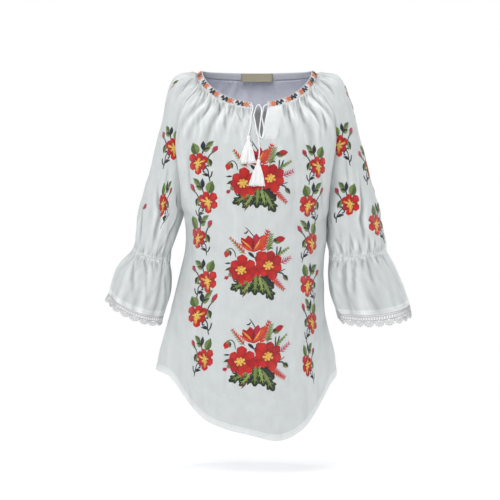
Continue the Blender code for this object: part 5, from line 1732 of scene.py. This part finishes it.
def muslin(settings):
    """Light crinkled muslin that shows greyer where it is one layer thick, with painted shade in its creases
    and deep inside, painted light and shade on its fine gathers and weave, and a painted glow on its inner
    side.
    """
    finish = Finish("Crinkled muslin", 0.88, sheen=0.12, specular=0.18)
    place = finish.where()
    crinkle = finish.noise(place, 7, 4, (1, 2.6, 1))
    finish.relief(crinkle, settings.crinkle / MM)
    finish.relief(finish.noise(place, 2.2, 2, (0.8, 2.2, 1)), 0.3)
    slub = finish.noise(place, 1.1, 1, (12, 0.45, 1))
    finish.relief(slub, 0.08)
    weave = finish.weave(place, settings.weave_pitch / MM, 0.05)
    doubled, painted_crease_shade, inner, deep, gathers, column = map(
        finish.marked, ("layers", "painted_crease_shade", "inner", "deep", "gathers", "column"))
    beside = finish.add("ShaderNodeCombineXYZ", (column, finish.part(place, 1), 0)).outputs[0]
    folds = finish.spread(finish.noise(beside, GATHER_PITCH, 0.5, (1, 8, 1)), -3, 3)
    folds = finish.math("MINIMUM", finish.math("ABSOLUTE", folds), 1)
    folds = finish.math("MULTIPLY", finish.math("SUBTRACT", 0.5, folds), gathers)
    finish.relief(folds, 1.5)
    # The inner side: a painted cool shade tint near the openings, turning into painted darker shade deep
    # inside
    inside = finish.blend(deep, settings.inner_shade_colour, settings.deep_shade_colour)
    body = finish.blend(inner, finish.blend(doubled, settings.colour, settings.hem_colour), inside)
    tone = finish.math("ADD", finish.spread(finish.noise(place, 26, 4), -0.09, 0.09),
                       finish.spread(slub, -0.07, 0.07))
    # Painted shade in the weave's low places and painted light on its high ones
    tone = finish.math("ADD", tone, finish.spread(weave, 0.985, 1.015, -1))
    # Painted shade in the creases and painted light on the ridges
    tone = finish.math("SUBTRACT", tone, finish.math("MULTIPLY", painted_crease_shade, FURROW_SHADE))
    # Painted highlight and painted shade across the fine gathers
    tone = finish.math("ADD", tone, finish.math("MULTIPLY", folds, GATHER_PAINTED_SHADING))
    finish.paint(body, tone)
    finish.set("Roughness", finish.spread(crinkle, 0.80, 0.95))
    # A painted lavender glow on the inner side near the openings, in place of daylight through the cloth
    near = finish.math("MULTIPLY", inner, finish.math("SUBTRACT", 1, deep))
    finish.glow(finish.math("MULTIPLY", near, THROUGH_GLOW_STRENGTH), THROUGH_GLOW_COLOUR)
    return finish.material


def embroidery_thread(settings):
    """Satin stitches: close bands of thread, each with its own sheen, painted lighter on its ridge and darker
    in the groove between bands.
    """
    finish = Finish("Embroidery thread", 0.5, sheen=0.25, specular=0.45)
    place = finish.where()
    bands = finish.wave(finish.math("ADD", finish.part(place, 0), finish.noise(place, 3, 1)),
                        settings.stitch_pitch / MM)
    finish.relief(bands, 0.12)
    finish.relief(finish.noise(place, 0.35, 2, (1, 5, 1)), 0.05)
    thread = finish.add("ShaderNodeVertexColor", layer_name="thread").outputs["Color"]
    # Painted highlight on each band's ridge and painted shade between bands, with uneven tone from thread to
    # thread
    tone = finish.math("ADD", finish.spread(bands, 0.86, 1.06, -1),
                       finish.spread(finish.noise(place, 2.6, 2, (0.4, 3, 1)), -0.16, 0.18))
    finish.paint(thread, tone, bands, (0.62, 0.42))
    return finish.material


def band_weave(settings):
    """The neck band's firm, closely woven cotton."""
    finish = Finish("Band cotton", 0.85, sheen=0.1, specular=0.2)
    place = finish.where()
    finish.relief(finish.noise(place, 5, 3), 0.35)
    rib = finish.wave(finish.part(place, 0), 0.9)
    finish.relief(rib, 0.06)
    weave = finish.weave(place, 0.5, 0.05)
    # Uneven tone, and painted shade in the weave's low places
    tone = finish.math("ADD", finish.spread(finish.noise(place, 14, 3), -0.05, 0.05),
                       finish.spread(weave, 0.97, 1.03, -1))
    # The band's inner side is painted in a cool shade tint
    body = finish.blend(finish.marked("inner"), settings.band_colour, settings.band_inner_shade_colour)
    finish.paint(body, tone, rib, (0.9, 0.8))
    return finish.material


def spun_cotton(name, colour, pitch, slant, depth, sheen, painted_glow=0):
    """Twisted cotton yarn or cord: slanting strands, a little loose fibre, and a painted glow where one is
    given.
    """
    finish = Finish(name, 0.8, sheen=sheen, specular=0.25)
    place = finish.where("Object")
    strands = finish.wave(finish.math("ADD", finish.part(place, 2),
                                      finish.math("MULTIPLY", finish.part(place, 0), slant)), pitch)
    finish.relief(strands, depth)
    finish.relief(finish.noise(place, 0.5, 3), depth * 0.4)
    # Painted shade between the strands, and uneven tone
    tone = finish.math("ADD", finish.spread(strands, 0.96, 1.02, -1),
                       finish.spread(finish.noise(place, 4), -0.04, 0.04))
    # Painted glow that lifts the shade between the threads
    finish.glow(painted_glow)
    finish.paint(colour, tone, strands, (0.88, 0.74))
    return finish.material


def label_ribbon(settings):
    """The bare label's ribbed satin tape."""
    finish = Finish("Label tape", 0.6, sheen=0.2, specular=0.35)
    place = finish.where()
    ribs = finish.wave(finish.part(place, 1), 0.7)
    finish.relief(ribs, 0.07)
    finish.relief(finish.noise(place, 6, 3), 0.4)
    weave = finish.weave(place, 0.4, 0.04)
    edge = tuple(c * 0.75 for c in settings.label_colour)
    body = finish.blend(finish.marked("layers"), settings.label_colour, edge)
    # Uneven tone, and painted shade in the weave's low places
    tone = finish.math("ADD", finish.spread(finish.noise(place, 3, 3, (3, 0.5, 1)), -0.08, 0.08),
                       finish.spread(weave, 0.95, 1.05, -1))
    finish.paint(body, tone, ribs, (0.7, 0.5))
    return finish.material


def studio_paper(settings):
    """Smooth pale paper for the floor."""
    finish = Finish("Studio paper", 0.9, specular=0.1)
    place = finish.where("Object")
    finish.relief(finish.noise(place, 6, 4), 0.1)
    finish.paint(settings.paper_colour, finish.spread(finish.noise(place, 160), 0.99, 1.01))
    radius = finish.add("ShaderNodeVectorMath", (place,), operation="LENGTH").outputs["Value"]
    finish.glow(finish.spread(radius, *PAPER_GLOW, *PAPER_GLOW_RADII))
    return finish.material


# ---------------------------------------------------------------- settings
def colour_setting(name, description, default):
    """A colour that a user would change."""
    return bpy.props.FloatVectorProperty(name=name, description=description, default=default, size=3,
                                         min=0, max=1, subtype="COLOR")


def length_setting(name, description, default, low, high):
    """A length that a user would change, in metres."""
    return bpy.props.FloatProperty(name=name, description=description, default=default, min=low, max=high,
                                   unit="LENGTH")


class BlouseClothSettings(bpy.types.PropertyGroup):
    """Sizes and colours of the muslin and its embroidery."""

    wall: length_setting("Cloth thickness", "Thickness of the muslin as modelled", 0.0009, 0.0004, 0.0015)
    colour: colour_setting("Cloth colour", "Muslin where it is one layer thick", (0.675, 0.705, 0.70))
    hem_colour: colour_setting("Doubled cloth colour", "Muslin where a hem or facing doubles it",
                               (0.83, 0.85, 0.845))
    # Painted cool shade tint on the muslin's inner side
    inner_shade_colour: colour_setting("Inner side colour", "Muslin on the inner side of the blouse",
                                 (0.93, 0.945, 1))
    # Painted shade: the muslin deep inside the blouse, away from its openings, is painted this darker colour
    deep_shade_colour: colour_setting("Deep inside colour", "Muslin deep inside the blouse, away from its openings",
                                (0.42, 0.42, 0.43))
    weave_pitch: length_setting("Weave pitch", "Distance over which the weave repeats", 0.0007, 0.0003, 0.002)
    crinkle: length_setting("Crinkle depth", "Depth of the fine crinkle in the cloth's surface", 0.0011, 0,
                            0.003)
    stitch_pitch: length_setting("Satin stitch pitch", "Distance between neighbouring embroidery threads",
                                 0.0006, 0.0003, 0.002)


class BlouseTrimSettings(bpy.types.PropertyGroup):
    """Colours of the band, lace, cords and label."""

    band_colour: colour_setting("Band colour", "Ground of the neck band", (0.72, 0.725, 0.75))
    # Painted cool shade tint on the band's inner side
    band_inner_shade_colour: colour_setting("Band's inner side colour", "Inner side of the neck band",
                                      (0.80, 0.81, 0.90))
    lace_colour: colour_setting("Lace colour", "Cotton of the lace edging", (0.64, 0.645, 0.65))
    cord_colour: colour_setting("Cord colour", "Cotton of the drawstrings and tassels", (0.96, 0.96, 0.96))
    label_colour: colour_setting("Label colour", "Tape of the bare label in the neck", (0.50, 0.46, 0.33))


class BlouseStageSettings(bpy.types.PropertyGroup):
    """The floor, lights and camera."""

    floor_drop: length_setting("Floor below the hem", "Gap between the hem's lowest point and the floor",
                               0.07, 0, 0.5)
    key_power: bpy.props.FloatProperty(
        name="Key light", description="Strength of the soft light from the upper left", default=23.7,
        min=0, max=500, unit="POWER")
    fill_strength: bpy.props.FloatProperty(
        name="Fill light", description="Brightness of the white room", default=0.29, min=0, max=2)
    paper_colour: colour_setting("Paper colour", "Pale floor", (0.66, 0.66, 0.665))


# ---------------------------------------------------------------- making and fastening pieces
# Flat sizes of the cut pieces in metres, and the areas of the shaped ones in square metres
FRONT_CUT, BACK_CUT, BODY_CUT_AREA = (0.50, 0.68), (0.50, 0.70), 0.29
FACING_WALL, LABEL_WALL = 0.7, 0.6


@lru_cache(maxsize=None)
def panel(name, side=0):
    """The fine cloth of a panel, worked out once."""
    if name == "flounce":
        return flounce_cloth(side, panel("sleeve", side).points[-1])
    makers = {"front": front_cloth, "back": back_cloth, "band": band_cloth, "label": label_cloth,
              "sleeve": partial(sleeve_cloth, side), "lace": partial(lace_cloth, side)}
    return makers[name]()


@lru_cache(maxsize=None)
def finish_named(name):
    """One of the blouse's finishes, made once."""
    cloth, trim = bpy.context.scene.blouse_cloth, bpy.context.scene.blouse_trim
    makers = {
        "muslin": lambda: muslin(cloth),
        "thread": lambda: embroidery_thread(cloth),
        "band": lambda: band_weave(trim),
        "lace": lambda: spun_cotton("Lace cotton", trim.lace_colour, 0.8, 0.7, 0.08, 0.5),
        # The cord's painted glow brightens the tassels' self-shaded threads
        "cord": lambda: spun_cotton("Cord cotton", trim.cord_colour, 1.3, 0.8, 0.12, 0.9, painted_glow=0.12),
        "label": lambda: label_ribbon(trim),
    }
    return makers[name]()


def place(piece, slot, replaced=None, on=None):
    """Fasten a piece to the blouse, hiding the solid that it stands for and hanging it on what it lies on;
    its slot is not used.
    """
    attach(piece, "root")
    if replaced:
        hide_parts(replaced)
    if on:
        piece.parent = bpy.data.objects[on]
    return piece


def side_name(name, side):
    """The name of a piece on the left or right."""
    return f"{name}_{'left' if side < 0 else 'right'}"


def muslin_piece(name, cloth, replaced, wall=None):
    """A panel of muslin, in the cloth's own thickness unless another in millimetres is given."""
    wall = wall or bpy.context.scene.blouse_cloth.wall / MM
    return place(cloth_object(name, cloth, wall, finish_named("muslin")), "white_cloth", replaced)


def stitching(on, lines, finish="lace", slot="white_cloth", name=None):
    """Stitches sewn along lines on a piece."""
    place(stitch_object(name or f"{on}_stitches", lines, finish_named(finish)), slot, on=on)


class BLOUSE_OT_body(bpy.types.Operator):
    """Make the front and back panels"""

    bl_idname = "blouse.body"
    bl_label = "Front and Back"

    def execute(self, context):
        """Make both panels."""
        for name, cut in (("front", FRONT_CUT), ("back", BACK_CUT)):
            piece = muslin_piece(f"{name}_panel", panel(name), name)
        return {"FINISHED"}


class BLOUSE_OT_sleeves(bpy.types.Operator):
    """Make the two raglan sleeves down to their elastic"""

    bl_idname = "blouse.sleeves"
    bl_label = "Sleeves"

    def execute(self, context):
        """Make a sleeve for each side."""
        for side in (-1, 1):
            piece = muslin_piece(side_name("sleeve_panel", side), panel("sleeve", side),
                                 side_name("sleeve", side))
        return {"FINISHED"}


class BLOUSE_OT_flounces(bpy.types.Operator):
    """Make the bell flounces and their crocheted lace"""

    bl_idname = "blouse.flounces"
    bl_label = "Flounces and Lace"

    def execute(self, context):
        """Make a flounce and its lace for each side."""
        for side in (-1, 1):
            piece = muslin_piece(side_name("flounce_panel", side), panel("flounce", side),
                                 side_name("flounce", side))
            lace = lace_object(side_name("lace_edging", side), panel("lace", side), finish_named("lace"))
            place(lace, "cotton_lace", side_name("lace", side), on=piece.name)
        return {"FINISHED"}


class BLOUSE_OT_neck(bpy.types.Operator):
    """Make the neck band with its woven border, the slit's facing and the bare label"""

    bl_idname = "blouse.neck"
    bl_label = "Neck Band, Facing and Label"

    def execute(self, context):
        """Make the band, its border, the facing and the label."""
        piece = place(band_object("neck_band", finish_named("band")), "neckband_cloth", "neckband")
        work = Threads(91)
        border(work, panel("band"))
        place(work.build("band_border", finish_named("thread")), "neckband_cloth", on=piece.name)
        piece = muslin_piece("slit_facing_strip", facing_cloth(panel("front")), "slit_facing", FACING_WALL)
        piece = cloth_object("bare_label", panel("label"), LABEL_WALL, finish_named("label"))
        place(piece, "label_tape", "label")
        return {"FINISHED"}


class BLOUSE_OT_embroidery(bpy.types.Operator):
    """Embroider the bouquets and the columns of roses on the front, and the sprigs on the sleeves"""

    bl_idname = "blouse.embroidery"
    bl_label = "Embroidery"

    def execute(self, context):
        """Stitch the flowers onto the panels."""
        front = panel("front")
        jobs = [("bouquets", "front_panel", 101, partial(bouquet_group, cloth=front)),
                ("rose_columns", "front_panel", 102, partial(sprig_group, cloth=front))]
        for side in (-1, 1):
            jobs.append((side_name("sleeve_roses", side), side_name("sleeve_panel", side), 110 + side,
                         partial(sleeve_group, cloth=panel("sleeve", side), side=side)))
        for name, on, seed, group in jobs:
            work = Threads(seed)
            group(work)
            place(work.build(name, finish_named("thread")), "white_cloth", on=on)
        return {"FINISHED"}


class BLOUSE_OT_stitches(bpy.types.Operator):
    """Sew the hems, seams, facing and elastic lines with visible stitches"""

    bl_idname = "blouse.stitches"
    bl_label = "Stitching"

    def execute(self, context):
        """Sew the visible stitches of every panel."""
        front, band = panel("front"), panel("band")
        stitching("front_panel", body_stitches(front) + facing_stitches(front))
        stitching("back_panel", body_stitches(panel("back")))
        for side in (-1, 1):
            hem = line_above_hem(panel("flounce", side), FLOUNCE_STITCH)
            stitching(side_name("sleeve_panel", side), side_lines(panel("sleeve", side), 2, -2))
            stitching(side_name("flounce_panel", side), [hem])
        lines = [on_cloth(band, np.full(BAND_TURNS, row), np.arange(BAND_TURNS)) for row in BAND_STITCH_ROWS]
        stitching("neck_band", lines, slot="neckband_cloth", name="band_stitches")
        line = on_cloth(panel("label"), np.full(40, LABEL_STITCH_ROW), np.linspace(1, 59, 40))
        stitching("bare_label", [line], "label", "label_tape", name="label_stitches")
        return {"FINISHED"}


class BLOUSE_OT_cords(bpy.types.Operator):
    """Hang the two drawstring ends with their tassels"""

    bl_idname = "blouse.cords"
    bl_label = "Drawstrings and Tassels"

    def execute(self, context):
        """Hang a cord and a tassel on each side."""
        for side, (route, head, foot) in CORDS.items():
            cord, length = cord_object(side_name("neck_cord", side), route, finish_named("cord"))
            place(cord, "cotton_cord", side_name("drawstring", side))
            tassel = tassel_object(side_name("tassel_threads", side), head, foot, 120 + side,
                                   finish_named("cord"))
            place(tassel, "cotton_cord", side_name("tassel", side))
        return {"FINISHED"}


# The eye stands level with the middle of the blouse, straight in front of it
EYE = (-0.014, -3.2, -0.354)
EYE_LENS, EYE_SENSOR = 115.2, 36
# Each lamp: name, place, width, share of the key light's power
LAMPS = (("Key", (-0.5, -1.8, 0.95), 1.2, 1), ("Overhead", (0.1, 0.15, 1.5), 1.4, 0.68),
         ("Left rim", (-1.8, 0.5, 0.1), 1, 0.24), ("Right rim", (1.8, 0.4, 0.1), 1, 0.40))
LAMP_TARGET = Vector((0, 0, -0.35))
ROOM_COLOUR = (0.94, 0.97, 1, 1)
FLOOR_RADIUS = 1600
FLOOR_TURNS = 96
# The paper's rings: share of its radius, and how far its rim is turned down
FLOOR_RINGS = ((0.02, 0), (0.25, 0), (0.5, 0), (0.75, 0), (1, 0), (1.01, 3), (1.01, 12))


class BLOUSE_OT_stage(bpy.types.Operator):
    """Set up the pale floor, the soft light and the camera"""

    bl_idname = "blouse.stage"
    bl_label = "Floor, Light and Camera"

    def execute(self, context):
        """Set the floor, the lamps, the room and the camera."""
        scene, settings = context.scene, context.scene.blouse_stage
        eye = bpy.data.objects.new("Eye", bpy.data.cameras.new("Eye"))
        scene.collection.objects.link(eye)
        eye.location, eye.rotation_euler = EYE, (math.pi / 2, 0, 0)
        eye.data.lens, eye.data.sensor_width = EYE_LENS, EYE_SENSOR
        scene.camera = eye
        for name, spot, size, share in LAMPS:
            light = bpy.data.lights.new(name, "AREA")
            light.shape, light.size, light.energy = "DISK", size, settings.key_power * share
            lamp = bpy.data.objects.new(name, light)
            scene.collection.objects.link(lamp)
            lamp.location = spot
            lamp.rotation_euler = (LAMP_TARGET - lamp.location).to_track_quat("-Z", "Y").to_euler()
        self.paper(settings)
        self.room(scene, settings)
        scene.view_settings.view_transform = "Standard"
        return {"FINISHED"}

    def paper(self, settings):
        """A round sheet of pale paper under the blouse, with its rim turned down."""
        turns = np.linspace(0, math.tau, FLOOR_TURNS, endpoint=False)
        level = CAD_BOX[0][2] / MM - settings.floor_drop / MM
        points = np.array([np.column_stack([FLOOR_RADIUS * share * np.cos(turns),
                                            FLOOR_RADIUS * share * np.sin(turns),
                                            np.full(FLOOR_TURNS, level - drop)])
                           for share, drop in FLOOR_RINGS])
        index = np.arange(points.size // 3).reshape(len(FLOOR_RINGS), FLOOR_TURNS)
        after = np.roll(index, -1, axis=1)
        quads = np.stack([index[:-1], index[1:], after[1:], after[:-1]], axis=-1).reshape(-1, 4)
        make_mesh("Paper", points.reshape(-1, 3), [quads, index[:1]], studio_paper(settings))

    def room(self, scene, settings):
        """A white room: what the eye sees is plain white, and it lights the blouse softly."""
        world = bpy.data.worlds.new("White room")
        world.use_nodes = True
        scene.world = world
        nodes, links = world.node_tree.nodes, world.node_tree.links
        seen, soft = nodes["Background"], nodes.new("ShaderNodeBackground")
        seen.inputs["Color"].default_value = WHITE
        soft.inputs["Color"].default_value = ROOM_COLOUR
        soft.inputs["Strength"].default_value = settings.fill_strength
        ray, mix = nodes.new("ShaderNodeLightPath"), nodes.new("ShaderNodeMixShader")
        for start, end in ((ray.outputs["Is Camera Ray"], mix.inputs[0]), (soft.outputs[0], mix.inputs[1]),
                           (seen.outputs[0], mix.inputs[2]),
                           (mix.outputs[0], nodes["World Output"].inputs["Surface"])):
            links.new(start, end)


STEPS = (BLOUSE_OT_stage, BLOUSE_OT_cords, BLOUSE_OT_body, BLOUSE_OT_sleeves, BLOUSE_OT_flounces,
         BLOUSE_OT_neck, BLOUSE_OT_embroidery, BLOUSE_OT_stitches)


class BLOUSE_PT_steps(bpy.types.Panel):
    """Steps and settings of the blouse"""

    bl_idname = "BLOUSE_PT_steps"
    bl_label = "Ie Blouse"
    bl_space_type = "VIEW_3D"
    bl_region_type = "UI"
    bl_category = "Ie Blouse"

    def draw(self, context):
        """List the settings and then the steps in order."""
        for name, _ in SETTINGS:
            group, box = getattr(context.scene, name), self.layout.box()
            for setting in group.__annotations__:
                box.prop(group, setting)
        for step in STEPS:
            self.layout.operator(step.bl_idname)


SETTINGS = (("blouse_cloth", BlouseClothSettings), ("blouse_trim", BlouseTrimSettings),
            ("blouse_stage", BlouseStageSettings))
CLASSES = tuple(group for _, group in SETTINGS) + STEPS + (BLOUSE_PT_steps,)


def register():
    """Add the settings, steps and panel."""
    for item in CLASSES:
        bpy.utils.register_class(item)
    for name, group in SETTINGS:
        setattr(bpy.types.Scene, name, bpy.props.PointerProperty(type=group))


def unregister():
    """Take the settings, steps and panel away again."""
    for name, _ in SETTINGS:
        delattr(bpy.types.Scene, name)
    for item in reversed(CLASSES):
        bpy.utils.unregister_class(item)


def main():
    """Register everything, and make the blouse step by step."""
    register()
    for step in STEPS:
        group, name = step.bl_idname.split(".")
        getattr(getattr(bpy.ops, group), name)()


if __name__ == "__main__":
    main()
